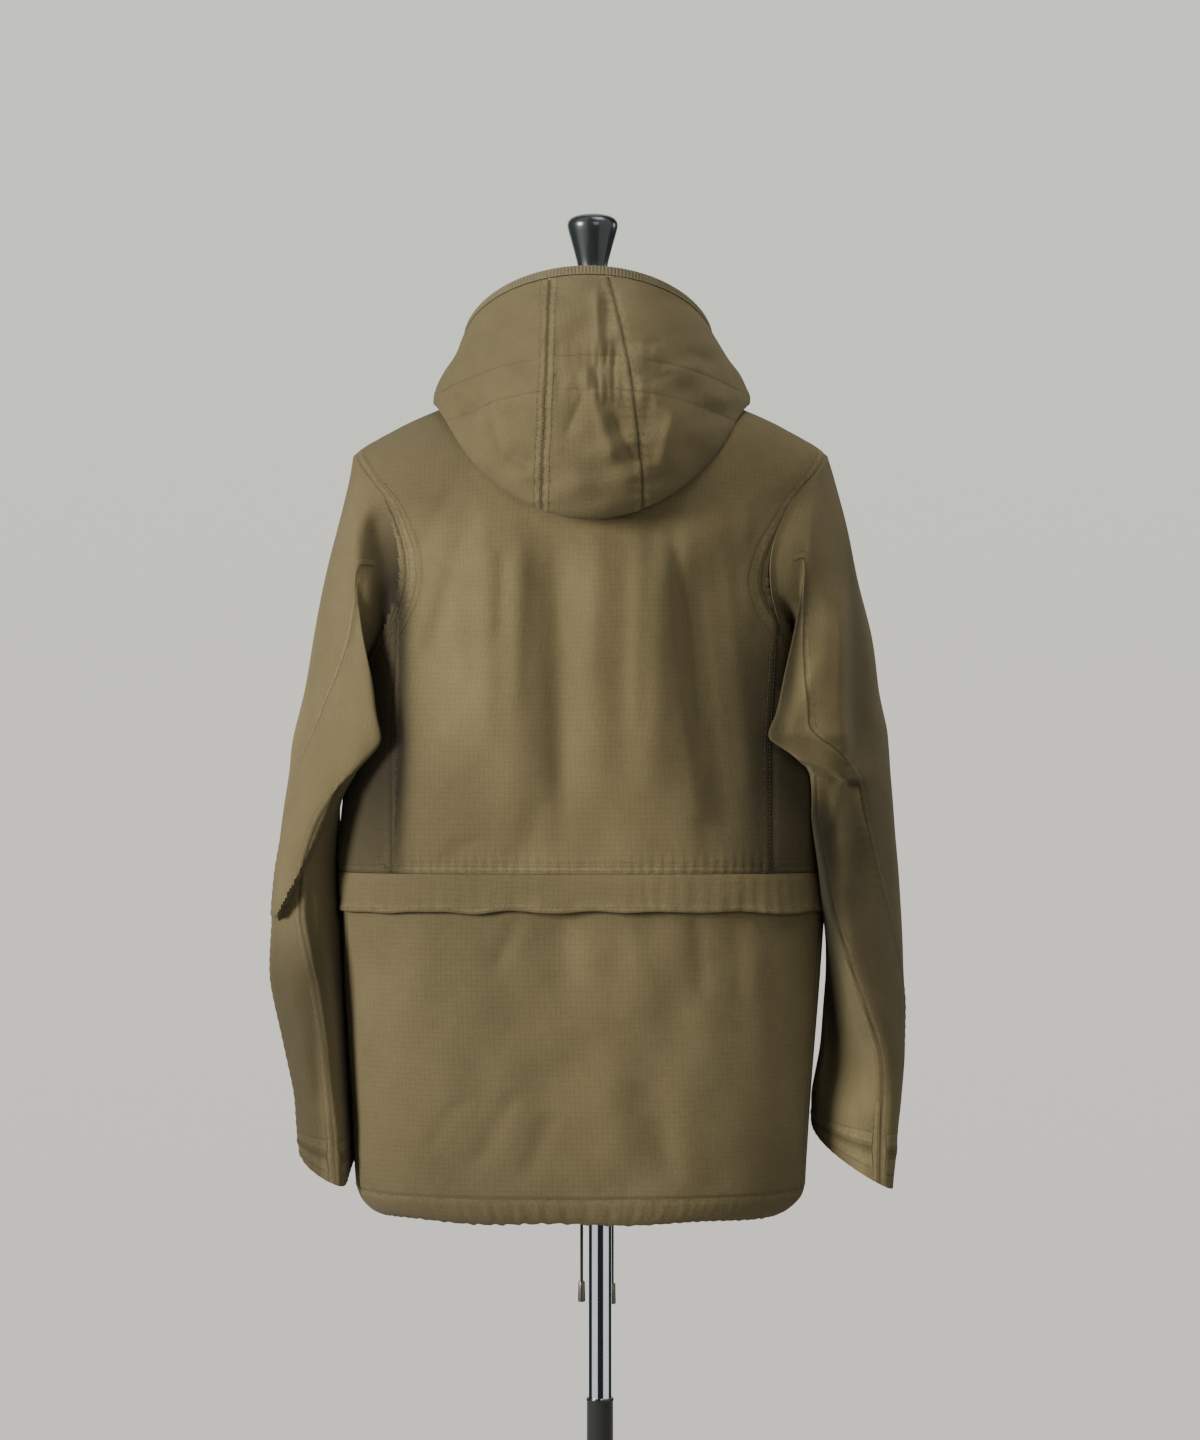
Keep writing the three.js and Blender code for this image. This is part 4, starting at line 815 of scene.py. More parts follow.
def ripstop(name, light, dark, lines=0.5, seed=0.0):
    """Cotton with a fine plain weave, a grid of stronger threads, an uneven dye, wear along the seams and painted
    shade from the mesh's shade attribute.
    """
    material, tree, shader = nodes_of(name)
    uv = tree.nodes.new("ShaderNodeUVMap").outputs[0]
    split = tree.nodes.new("ShaderNodeSeparateXYZ")
    tree.links.new(uv, split.inputs[0])
    place = tree.nodes.new("ShaderNodeTexCoord").outputs["Object"]
    grids = []
    for axis in (0, 1):
        cycle = calc(tree, "FRACT", calc(tree, "MULTIPLY", split.outputs[axis], 1 / RIPSTOP_PITCH))
        grids.append(calc(tree, "LESS_THAN", calc(tree, "ABSOLUTE", calc(tree, "SUBTRACT", cycle, 0.5)), 0.075))
    grid = calc(tree, "MAXIMUM", grids[0], grids[1])
    waves = []
    for axis in (0, 1):
        phase = calc(tree, "MULTIPLY", split.outputs[axis], 2 * math.pi / THREAD_PITCH)
        waves.append(calc(tree, "SINE", phase))
    weave = calc(tree, "MULTIPLY", waves[0], waves[1])
    large = noise(tree, place, 7, 4, 0.6)
    fine = noise(tree, place, 60, 5, 0.7)
    speckle = noise(tree, uv, 900, 2, 0.6)
    tone = mixed(tree, remap(tree, large, 0.35, 0.68, 0, 1), (*dark, 1), (*light, 1))
    tone = mixed(tree, remap(tree, fine, 0.3, 0.7, 0.12, 0), tone, (0.02, 0.017, 0.01, 1))
    tone = mixed(tree, remap(tree, speckle, 0.35, 0.75, 0, 0.22), tone, tuple(min(1, c * 1.7) for c in light) + (1,))
    for scale in ((70, 2300, 1), (2300, 70, 1)):
        stretch = tree.nodes.new("ShaderNodeMapping")
        stretch.inputs["Scale"].default_value = scale
        tree.links.new(uv, stretch.inputs["Vector"])
        streak = remap(tree, noise(tree, stretch.outputs[0], 1, 2, 0.5), 0.35, 0.65, 0, 0.2)
        tone = mixed(tree, streak, tone, tuple(c * 0.55 for c in dark) + (1,))
    tone = mixed(tree, calc(tree, "MULTIPLY", grid, 0.3 * lines), tone, tuple(c * 0.4 for c in dark) + (1,))
    near = tree.nodes.new("ShaderNodeAttribute")
    near.attribute_name = "edge"
    away = calc(tree, "ABSOLUTE", near.outputs["Fac"])
    line = remap(tree, away, 0.3, 1.3, 1, 0)
    worn_strip = calc(tree, "MULTIPLY", remap(tree, away, 1.0, 2.5, 0, 1), remap(tree, away, 6.5, 9.0, 1, 0))
    rub = calc(tree, "MULTIPLY", worn_strip, remap(tree, noise(tree, place, 260, 3, 0.6), 0.35, 0.65, 0, 1))
    tone = mixed(tree, calc(tree, "MULTIPLY", rub, 0.3), tone, tuple(min(1, c * 1.5) for c in light) + (1,))
    first = remap(tree, calc(tree, "ABSOLUTE", calc(tree, "SUBTRACT", away, 1.8)), 0.2, 0.8, 1, 0)
    second = remap(tree, calc(tree, "ABSOLUTE", calc(tree, "SUBTRACT", near.outputs["Fac"], 7.4)), 0.2, 0.8, 1, 0)
    rows = calc(tree, "MAXIMUM", first, second)
    tone = mixed(tree, calc(tree, "MULTIPLY", rows, 0.35), tone, tuple(c * 0.3 for c in dark) + (1,))
    tone = mixed(tree, calc(tree, "MULTIPLY", line, 0.75), tone, tuple(c * 0.12 for c in dark) + (1,))
    # Painted shade and light: the mesh's shade attribute darkens the cloth where it is below zero and lightens it
    # where it is above zero.
    painted_shade = tree.nodes.new("ShaderNodeAttribute")
    painted_shade.attribute_name = "shade"
    lighter = calc(tree, "MAXIMUM", painted_shade.outputs["Fac"], 0.0)
    darker = calc(tree, "MAXIMUM", calc(tree, "MULTIPLY", painted_shade.outputs["Fac"], -1.0), 0.0)
    tone = mixed(tree, calc(tree, "MULTIPLY", lighter, 0.5), tone, tuple(min(1, c * 1.6) for c in light) + (1,))
    tone = mixed(tree, calc(tree, "MULTIPLY", darker, 0.7), tone, tuple(c * 0.1 for c in dark) + (1,))
    tree.links.new(tone, shader.inputs["Base Color"])
    shader.inputs["Roughness"].default_value = 0.88
    shader.inputs["Specular IOR Level"].default_value = 0.25
    shader.inputs["Sheen Weight"].default_value = 0.04
    shader.inputs["Sheen Roughness"].default_value = 0.5
    bump = tree.nodes.new("ShaderNodeBump")
    bump.inputs["Strength"].default_value = 0.55
    bump.inputs["Distance"].default_value = 0.0006
    wrinkle = noise(tree, place, 130, 4, 0.55)
    height = calc(tree, "ADD", calc(tree, "MULTIPLY", weave, 0.12), calc(tree, "MULTIPLY", grid, 0.3))
    height = calc(tree, "ADD", height, calc(tree, "MULTIPLY", wrinkle, 1.6))
    height = calc(tree, "SUBTRACT", height, calc(tree, "MULTIPLY", rows, 0.5))
    tree.links.new(height, bump.inputs["Height"])
    tree.links.new(bump.outputs[0], shader.inputs["Normal"])
    return material


def plain(name, color, roughness, metallic=0.0, grain=0.0, scale=200.0, coat=0.0):
    """A plain surface with a faint uneven tone and a fine bump."""
    material, tree, shader = nodes_of(name)
    place = tree.nodes.new("ShaderNodeTexCoord").outputs["Object"]
    mottle = noise(tree, place, scale * 0.2, 3, 0.6)
    tone = mixed(tree, remap(tree, mottle, 0.3, 0.7, 0, 0.35), (*color, 1), tuple(c * 0.75 for c in color) + (1,))
    tree.links.new(tone, shader.inputs["Base Color"])
    shader.inputs["Roughness"].default_value = roughness
    shader.inputs["Metallic"].default_value = metallic
    shader.inputs["Coat Weight"].default_value = coat
    bump = tree.nodes.new("ShaderNodeBump")
    bump.inputs["Strength"].default_value = grain
    bump.inputs["Distance"].default_value = 0.0004
    tree.links.new(noise(tree, place, scale * 4, 3, 0.6), bump.inputs["Height"])
    tree.links.new(bump.outputs[0], shader.inputs["Normal"])
    return material


OLIVE_LIGHT = (0.225, 0.182, 0.088)
OLIVE_DARK = (0.174, 0.137, 0.062)
COTTON = ripstop("olive_ripstop", OLIVE_LIGHT, OLIVE_DARK)
TAPE = plain("ribbed_tape", (0.15, 0.122, 0.062), 0.8, grain=0.4, scale=900)
THREAD = plain("olive_thread", (0.1, 0.078, 0.036), 0.8, grain=0.2, scale=900)
LOOP = plain("loop_patch", (0.2, 0.175, 0.105), 1.0, grain=1.0, scale=1800)
CORD = plain("cord", (0.035, 0.031, 0.02), 0.8, grain=0.8, scale=1500)
TIP = plain("dark_metal", (0.16, 0.14, 0.115), 0.32, metallic=1.0, grain=0.1)
GLOSS = plain("black_gloss", (0.022, 0.027, 0.026), 0.27, grain=0.02, coat=0.35)
CHROME = plain("chrome", (0.82, 0.83, 0.84), 0.07, metallic=1.0, grain=0.02)
TUBE = plain("black_tube", (0.012, 0.016, 0.014), 0.22, grain=0.02, coat=0.3)
BASE = plain("black_base", (0.014, 0.016, 0.016), 0.4, grain=0.2)
LINEN = plain("form_linen", (0.6, 0.54, 0.43), 0.92, grain=0.7, scale=1200)


# Hem drawcord
CORD_ENDS = [
    {"side": "left", "x": -18, "bottom": 601},
    {"side": "right", "x": 12, "bottom": 599},
]


def hem_front_y(x):
    r = {name: float(along(SKIRT, "level", name, CORD_HEIGHT)) for name in RING[1:]}
    return r["front"] * (1 - (abs(x - r["mid"]) / r["half"]) ** r["round"]) ** (1 / r["round"])


def make_cords():
    for cord in CORD_ENDS:
        x, face = cord["x"], hem_front_y(cord["x"]) + 1.2
        route = [
            (0, 0.2, 0), (0, 3.2, -0.3), (0, 6.4, -2.6), (0, 8.2, -7.5), (0, 8.6, -16), (0, 8.4, -35),
            (0, 8.4, -60), (0, 8.4, cord["bottom"] - CORD_HEIGHT),
        ]
        places = np.array([(x + a, face + b, CORD_HEIGHT + c) for a, b, c in route])
        knots = np.arange(len(places))
        fine = np.linspace(0, len(places) - 1, 36)
        rows = {"k": knots.astype(float), "x": places[:, 0], "y": places[:, 1], "z": places[:, 2]}
        path = np.stack([along(rows, "k", name, fine) for name in "xyz"], axis=-1)
        piece = tube_mesh(f"cord_{cord['side']}", path, 1.5, CORD, "form", sides=16)
        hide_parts(f"drawcord_{cord['side']}")
        top = cord["bottom"] - 0.3
        profile = [
            (0, top - 20.5), (2.9, top - 20.5), (3.5, top - 19.9), (3.6, top - 19), (3.35, top - 10),
            (3.2, top - 1.2), (2.9, top - 0.4), (2.2, top), (0, top),
        ]
        tip = turned(f"tip_{cord['side']}", profile, x, face + 8.4, TIP, "form", 32)
        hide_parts(f"cord_end_{cord['side']}")


make_cords()


# Upper body
SEAM_STEPS = ([1008, 1130, 1252], [-193, -193, -187], [158, 158, 165])
SHOULDER_LEVEL = 1385


def seam_angle(level, side):
    """Angle of the side-back seam, moving to the shoulder seam inside the armhole."""
    x = np.interp(level, SEAM_STEPS[0], SEAM_STEPS[1 if side < 0 else 2])
    mid, half = along(UPPER, "level", "mid", level), along(UPPER, "level", "half", level)
    c = np.clip(np.abs(x - mid) / half, 0, 1) ** (along(UPPER, "level", "round", level) / 2)
    bend = np.arccos(c)
    t = smooth(SEAM_STEPS[0][-1], SHOULDER_LEVEL, level)
    bend = lerp(bend, -0.045, t)
    return math.pi + bend if side < 0 else 2 * math.pi - bend


def in_armhole(y, z, grow=0.0):
    a, b = ARMHOLE["half_width"] + grow, ARMHOLE["half_height"] + grow
    return ((y - ARMHOLE["y"]) / a) ** 2 + ((z - ARMHOLE["z"]) / b) ** 2 - 1


def snap_to_armhole(points, level, angle):
    """Moves the grid points just inside an armhole to its edge, on the body's surface."""
    value = in_armhole(points[..., 1], points[..., 2])
    inside = (value < 0) & (np.abs(points[..., 0] + 12) > 100)
    near = np.zeros_like(inside)
    near[1:] |= ~inside[:-1]
    near[:-1] |= ~inside[1:]
    near[:, 1:] |= ~inside[:, :-1]
    near[:, :-1] |= ~inside[:, 1:]
    near[1:, 1:] |= ~inside[:-1, :-1]
    near[:-1, :-1] |= ~inside[1:, 1:]
    near[1:, :-1] |= ~inside[:-1, 1:]
    near[:-1, 1:] |= ~inside[1:, :-1]
    rim = inside & near
    lv, an = level[rim].copy(), angle[rim].copy()
    p = body_point(lv, an)
    y0, z0 = p[:, 1] - ARMHOLE["y"], p[:, 2] - ARMHOLE["z"]
    stretch = 1 / np.sqrt((y0 / ARMHOLE["half_width"]) ** 2 + (z0 / ARMHOLE["half_height"]) ** 2)
    goal = np.stack([ARMHOLE["y"] + y0 * stretch, ARMHOLE["z"] + z0 * stretch], axis=-1)
    for _ in range(5):
        p = body_point(lv, an)
        error = goal - p[:, 1:]
        dl = (body_point(lv + 0.3, an) - p)[:, 1:] / 0.3
        da = (body_point(lv, an + 0.003) - p)[:, 1:] / 0.003
        det = dl[:, 0] * da[:, 1] - dl[:, 1] * da[:, 0]
        det = np.where(np.abs(det) < 1e-3, 1e-3, det)
        step_l = (error[:, 0] * da[:, 1] - error[:, 1] * da[:, 0]) / det
        step_a = (dl[:, 0] * error[:, 1] - dl[:, 1] * error[:, 0]) / det
        lv = np.clip(lv + np.clip(step_l, -6, 6), WAIST_SEAM, NECK_SEAM)
        an = an + np.clip(step_a, -0.06, 0.06)
    points[rim] = body_point(lv, an)
    return ~inside | rim, ~inside


def seam_relief(distance, spacing=8.0, depth=0.9):
    """The profile of a felled seam: a groove at its edge and a raised, double-stitched strip beside it."""
    groove = -depth * bell(distance, 1.3)
    strip = 0.55 * smooth(0, 1.5, distance) * (1 - smooth(spacing, spacing + 1.5, distance))
    return groove + strip


def make_body():
    angles = np.linspace(0, 2 * math.pi, 60)
    levels = even(lambda v, u: ring(UPPER, v, u), WAIST_SEAM, NECK_SEAM, 160, angles)
    left, right = seam_angle(levels, -1), seam_angle(levels, 1)
    stitches = []
    for name, start, end, count in (("upper_back", left, right, 160), ("upper_front", right, left + 2 * math.pi, 150)):
        share = np.linspace(0, 1, count)
        angle = start[:, None] + (end - start)[:, None] * share[None, :]
        level = np.broadcast_to(levels[:, None], angle.shape)
        points = body_point(level, angle)
        arc = np.cumsum(np.linalg.norm(np.diff(points, axis=1, prepend=points[:, :1]), axis=2), axis=1)
        from_left, from_right = arc, arc[:, -1:] - arc
        low = (points[..., 2] - WAIST_SEAM)
        centre = np.stack([np.full_like(levels, -12.0), np.zeros_like(levels)], axis=-1)[:, None, :]
        away = points[..., :2] - centre
        away /= np.linalg.norm(away, axis=-1, keepdims=True)
        if name == "upper_back":
            relief = seam_relief(from_left) + seam_relief(from_right)
        else:
            relief = -0.9 * bell(from_left, 1.3) - 0.9 * bell(from_right, 1.3)
        pucker = np.sin(2 * math.pi * points[..., 2] / 8.5 + 2 * np.sin(points[..., 2] / 31))
        relief += 0.35 * pucker * (bell(from_left - 6, 7) + bell(from_right - 6, 7))
        waist_pucker = np.sin(2 * math.pi * points[..., 0] / 9 + 2 * np.sin(points[..., 0] / 23))
        relief += -0.8 * bell(low, 1.5) + 0.4 * waist_pucker * bell(low - 8, 7)
        edge = in_armhole(points[..., 1], points[..., 2])
        wide = np.abs(points[..., 0] + 12) > 100
        relief += np.where(wide, -0.5 * bell(edge, 0.02) + 0.5 * smooth(0.02, 0.05, edge) * (1 - smooth(0.2, 0.26, edge)), 0)
        level_grid, angle_grid = level.copy(), angle.copy()
        keep, whole = snap_to_armhole(points, level_grid, angle_grid)
        points[..., :2] += away * np.where(whole, relief, 0)[..., None]
        hole = (np.sqrt(np.maximum(edge + 1, 0)) - 1) * 96 + np.where(wide, 0, 999)
        sides = np.minimum(from_left, from_right) * (1 if name == "upper_back" else -1)
        near = np.minimum(np.minimum(np.abs(sides), low), np.abs(hole))
        seams = np.where(near == np.abs(sides), sides, near)
        piece = sheet_mesh(name + "_cloth", points, COTTON, keep=keep, edge=np.clip(seams, -FAR, FAR),
                           shade=body_shade(points), outward=(-12, 0, 1220))
        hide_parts(name)
    stitches += body_stitches(levels, left, right)
    return stitches


# Lines of the back that lie deep beside the sleeves, where shade is painted into the cloth: z, x and how dark the
# painted shade is there.
LEFT_VALLEY = {"z": [930, 1010, 1130, 1260, 1330], "x": [-196, -192, -186, -186, -196], "dark": [0.2, 0.7, 1.3, 1.4, 0.2]}
RIGHT_VALLEY = {"z": [930, 1010, 1130, 1205, 1330], "x": [170, 162, 160, 167, 200], "dark": [0.8, 1.1, 1.3, 1.2, 0.3]}


def body_shade(points):
    """Painted shade: the cloth in the valleys beside the sleeves is darker, and so are the sides below the arms."""
    x, y, z = points[..., 0], points[..., 1], points[..., 2]
    shade = np.zeros(x.shape)
    for valley, side, spread in ((LEFT_VALLEY, -1, 9), (RIGHT_VALLEY, 1, 26)):
        beyond = side * (x - np.interp(z, valley["z"], valley["x"]))
        dark = np.interp(z, valley["z"], valley["dark"]) * (z < 1345)
        shade -= dark * np.where(beyond < 0, bell(beyond, spread), 0.85) * smooth(20, -20, y)
    # Painted shade also darkens the left shoulder, the lower left of the back and a strip on the back's right.
    shade -= 0.5 * smooth(1300, 1360, z) * smooth(-80, -140, x)
    shade -= 0.4 * smooth(1200, 1080, z) * smooth(-50, -120, x)
    shade -= 0.3 * bell(x - 112, 28) * smooth(1340, 1270, z)
    return shade


def sleeve_shade(points, side):
    """Painted shade on the back of a sleeve: darker where it dips towards the body, and on the parts turned from the
    light.
    """
    x, y, z = points[..., 0], points[..., 1], points[..., 2]
    behind = smooth(10, -30, y)
    if side < 0:
        valley = np.interp(z, [1100, 1205, 1280, 1340], [-188, -189, -196, -201])
        deep = np.interp(z, [1100, 1130, 1260, 1310, 1365], [0, 1.3, 1.3, 0.8, 0])
        shade = -deep * np.where(x > valley, 1, bell(x - valley, 9))
        # Painted shade over the whole left sleeve, deeper on the outer forearm.
        shade -= 0.3 + 0.65 * smooth(1010, 900, z) * smooth(-245, -268, x)
    else:
        valley = np.interp(z, [1110, 1150, 1200, 1290], [160, 163, 174, 190])
        deep = np.interp(z, [1110, 1140, 1260, 1320], [0.2, 1.0, 0.9, 0])
        shade = -deep * np.where(x < valley, 1, bell(x - valley, 8))
        # Painted shadow of the body on the inner side of the right forearm, and painted shade on its lower part,
        # beside the fold edge and on the outer panel above the elbow.
        inner = np.interp(z, [740, 860, 960, 1080], [214, 226, 222, 214])
        shade -= 0.8 * smooth(1100, 1050, z) * smooth(8, -8, x - inner)
        shade -= 0.5 * smooth(1130, 1050, z) * (1 - smooth(870, 780, z))
        shade -= 0.6 * bell(x - 236, 9) * smooth(1105, 1090, z) * smooth(960, 1060, z)
        shade -= 0.6 * smooth(1080, 1140, z) * smooth(226, 242, x)
    return shade * behind


def body_stitches(levels, left, right):
    rows = []
    half = along(UPPER, "level", "half", levels)
    for edge, sign in ((left, 1), (right, -1)):
        for offset in (1.4, 7.4):
            use = levels < 1250
            angle = edge + sign * offset / (half * 0.75)
            rows.append(row_on(body_point, angle[use], levels[use]))
    turn = np.linspace(0, 2 * math.pi, 700)
    for height in (3, 11):
        rows.append(row_on(body_point, turn, np.full_like(turn, WAIST_SEAM + height)))
    for side in (-1, 1):
        t = np.linspace(math.radians(-150), math.radians(150), 240)
        for grow in (3.2, 9.5):
            y = ARMHOLE["y"] - (ARMHOLE["half_width"] + grow) * np.cos(t) * 1.0
            z = ARMHOLE["z"] + (ARMHOLE["half_height"] + grow) * np.sin(t)
            use = (y < 60) & (z < 1396)
            y, z = y[use], z[use]
            x = armhole_x(y, z, side)
            up = np.stack([np.full_like(x, side * 1.0), np.where(y < 0, -0.6, 0.6), np.zeros_like(x)], axis=-1)
            path = np.stack([x, y, z], axis=-1)
            depth = np.interp(path[:, 1], [-95, -60, 0], [1.0, 0.6, 0.3])
            path[:, 1] -= depth * 0.8 * (path[:, 1] < 0)
            path[:, 0] += side * 0.8
            rows.append((path, up))
    return rows


def make_placket():
    levels = np.linspace(1290, NECK_SEAM - 3, 60)
    angles = np.radians(np.linspace(445, 455, 24))
    lv, an = np.meshgrid(levels, angles, indexing="ij")
    base, normal = row_on(body_point, an, lv, lift=0)
    piece = sheet_mesh("placket", base + normal * (1 + WALL), COTTON, outward=(-12, 0, 1350))
    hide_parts("front_placket")
    inner = []
    for column in (1.2, 22.8):
        a = np.full(120, math.radians(445 + 10 * column / 24))
        lv_row = np.linspace(1291, NECK_SEAM - 5, 120)
        path, up = row_on(body_point, a, lv_row, lift=1 + WALL + 0.2)
        inner.append((path, up))
    return inner


# Waist band, skirt and hem
def make_band():
    turn = np.linspace(0, 2 * math.pi, 420)
    levels = np.array([BAND_BOTTOM, 971, 973, 976, 980, 985, 990, 995, 1000, 1004, 1007, WAIST_SEAM - 0.3])
    lv, an = np.meshgrid(levels, turn, indexing="ij")
    points = ring(UPPER, lv, an)
    away = points[..., :2] - np.array([-15.0, 0.0])
    away /= np.linalg.norm(away, axis=-1, keepdims=True)
    x = points[..., 0]
    down = smooth(1008, 970, -(-lv)) if False else 1 - smooth(BAND_BOTTOM, WAIST_SEAM, lv)
    pucker = np.sin(2 * math.pi * x / 13 + 3 * np.sin(x / 29)) * np.where(x > 20, 0.4, 0.25)
    relief = pucker * (0.35 + 0.65 * down) - 1.0 * bell(lv - WAIST_SEAM, 1.5) + 0.6 * bell(lv - BAND_BOTTOM - 2, 2)
    relief += ripple(x, lv, 60, 60, 51) * 1.1 * down
    points[..., :2] += away * relief[..., None]
    points[..., 2] += ripple(x, points[..., 1], 60, 60, 52) * 1.1 * (down > 0.5) * down
    points[:, -1] = points[:, 0]
    piece = sheet_mesh("waist_band_cloth", points, COTTON, closed=True, edge=-np.minimum(lv - BAND_BOTTOM, FAR),
                       shade=skirt_shade(x, lv))
    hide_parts("waist_band")
    path, up = row_on(lambda v, u: ring(UPPER, v, u), np.linspace(0, 2 * math.pi, 700), np.full(700, 975.0), lift=1.2)
    return [(path, up)]


def skirt_shade(x, z):
    """Painted shade for the skirt, waist band and hem: a little darker on the left and towards the hem."""
    return -0.36 * smooth(20, -120, x) - 0.14 - 0.1 * smooth(800, 700, z)


def make_skirt():
    turn = np.linspace(math.radians(14), math.radians(374), 300)
    levels = np.concatenate(([HEM_TOP - 4], np.linspace(HEM_TOP + 0.3, SKIRT_TOP, 84)))
    lv, an = np.meshgrid(levels, turn, indexing="ij")
    points = skirt_point(lv, an)
    away = points[..., :2] - np.array([-17.0, 0.0])
    away /= np.linalg.norm(away, axis=-1, keepdims=True)
    x = points[..., 0]
    near_hem = bell(lv - HEM_TOP, 9)
    pucker = np.sin(2 * math.pi * x / 8 + 2 * np.sin(x / 21))
    relief = 0.35 * pucker * near_hem * (lv > HEM_TOP + 2) - 2.4 * (lv < HEM_TOP)
    for seam in (194, 346):
        distance = np.abs(an - math.radians(seam)) * 150
        relief += -0.9 * bell(distance, 1.4) * (np.abs(an - math.radians(seam)) < 0.5)
    points[..., :2] += away * relief[..., None]
    points[:, -1] = points[:, 0]
    side_seam = np.minimum(np.abs(an - math.radians(194)), np.abs(an - math.radians(346))) * 150
    edge = -np.minimum(side_seam, FAR)
    piece = sheet_mesh("skirt_cloth", points, COTTON, closed=True, edge=edge, shade=skirt_shade(x, lv))
    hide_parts("skirt_back", "skirt_front")
    fine = np.linspace(0, 2 * math.pi, 700)
    return [row_on(skirt_point, fine, np.full(700, HEM_TOP + 1.5), lift=0.35)]


def make_hem():
    count = 640
    turn = np.linspace(0, 2 * math.pi, count)
    levels = np.array([HEM_BOTTOM, 687.6, 689, 691, 694, 698, 702, 706, 709, HEM_TOP])
    lv, an = np.meshgrid(levels, turn, indexing="ij")
    points = ring(SKIRT, lv, an)
    away = points[..., :2] - np.array([-18.0, 0.0])
    away /= np.linalg.norm(away, axis=-1, keepdims=True)
    arc = np.cumsum(np.linalg.norm(np.diff(points[4], axis=0, prepend=points[4][:1]), axis=1))
    wave = np.sin(2 * math.pi * arc / 17 + 2.2 * np.sin(arc / 37)) * (0.6 + 0.4 * np.sin(arc / 53))
    wave += 0.45 * np.sin(2 * math.pi * arc / 9.7 + 1.5 * np.sin(arc / 29))
    down = 1 - smooth(HEM_BOTTOM + 2, HEM_TOP, lv)
    calm = 1 - 0.85 * bell(points[..., 0] + 3, 20) * (points[..., 1] > 0)
    relief = (wave[None, :] * (0.1 + 0.75 * down) - 0.2) * calm
    points[..., :2] += away * relief[..., None]
    points[..., 2] += (wave[None, :] * 0.8 + np.sin(arc / 23)[None, :] * 1.0) * down * calm
    points[:, -1] = points[:, 0]
    piece = sheet_mesh("hem_cloth", points, COTTON, closed=True, edge=lv - HEM_TOP - 1.3,
                       shade=skirt_shade(points[..., 0], lv))
    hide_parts("hem_casing")


# Hood
def make_hood():
    stitches = []
    levels = even(hood_ring, 0.0, HOOD_EDGE, 150, np.radians(np.linspace(180, 360, 40)))
    starts = [lambda v: np.full_like(v, math.radians(90)), hood_seam_left, hood_seam_right]
    ends = [hood_seam_left, hood_seam_right, lambda v: np.full_like(v, math.radians(450))]
    names = ["hood_left", "hood_centre", "hood_right"]
    for name, start, end, count in zip(names, starts, ends, (110, 44, 110)):
        share = np.linspace(0, 1, count)
        a, b = start(levels), end(levels)
        angle = a[:, None] + (b - a)[:, None] * share[None, :]
        level = np.broadcast_to(levels[:, None], angle.shape)
        points = hood_point(level, angle)
        _, normal = row_on(hood_ring, angle, np.clip(level, 0.1, HOOD_EDGE - 0.1), lift=0, du=0.01, dv=0.05)
        arc = np.cumsum(np.linalg.norm(np.diff(points, axis=1, prepend=points[:, :1]), axis=2), axis=1)
        from_start, from_end = arc, arc[:, -1:] - arc
        relief = -0.5 * bell(from_start, 1.2) - 0.5 * bell(from_end, 1.2)
        if name == "hood_centre":
            relief += 0.3 * smooth(0, 1.5, from_start) * (1 - smooth(7, 8.5, from_start))
        if name == "hood_left":
            relief += 0.3 * smooth(0, 1.5, from_end) * (1 - smooth(6, 7.5, from_end))
        pucker = np.sin(2 * math.pi * points[..., 2] / 9 + 2 * np.sin(points[..., 2] / 19))
        relief += 0.5 * pucker * (bell(from_start - 5, 6) + bell(from_end - 5, 6))
        outer = smooth(5.5, 6.5, level)
        points = points + normal * (relief * outer)[..., None]
        rows = {"hood_left": (-1, 1), "hood_centre": (1, -1), "hood_right": (-1, -1)}[name]
        near = np.where(from_start < from_end, from_start * rows[0], from_end * rows[1])
        # Painted shade darkens each hood panel towards the hood's left side.
        piece = sheet_mesh(name + "_cloth", points, COTTON, offset=0, edge=np.clip(near, -FAR, FAR),
                           shade=-0.34 * smooth(40, -20, points[..., 0]), outward=(-8, -20, 1440))
        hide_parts(name)
    for seam, offsets in ((hood_seam_left, (-1.6, -7, 1.6, 7)), (hood_seam_right, (1.6,))):
        for offset in offsets:
            v = np.linspace(6.2, HOOD_EDGE - 0.1, 220)
            u = seam(v) + offset / 150
            stitches.append(row_on(hood_point, u, v, lift=WALL / 2 + 0.4, du=0.01, dv=0.03, flip=1))
    for height in CHANNELS:
        u = np.radians(np.linspace(196, 344, 260))
        v = level_at_height(u, height)
        stitches.append(row_on(hood_point, u, v, lift=WALL / 2 + 0.5, du=0.01, dv=0.03, flip=1))
    return stitches


def hood_ring(level, angle):
    return ring(HOOD, level, angle)


def level_at_height(turn, height):
    """The hood's outer level whose surface has the given height at each turn."""
    low, high = np.full_like(turn, 6.5), np.full_like(turn, float(HOOD_EDGE))
    for _ in range(24):
        middle = (low + high) / 2
        p = hood_ring(middle, turn)
        below = p[..., 2] < channel_height(height, p[..., 0])
        low, high = np.where(below, middle, low), np.where(below, high, middle)
    return low


RIB_PITCH = 3.3


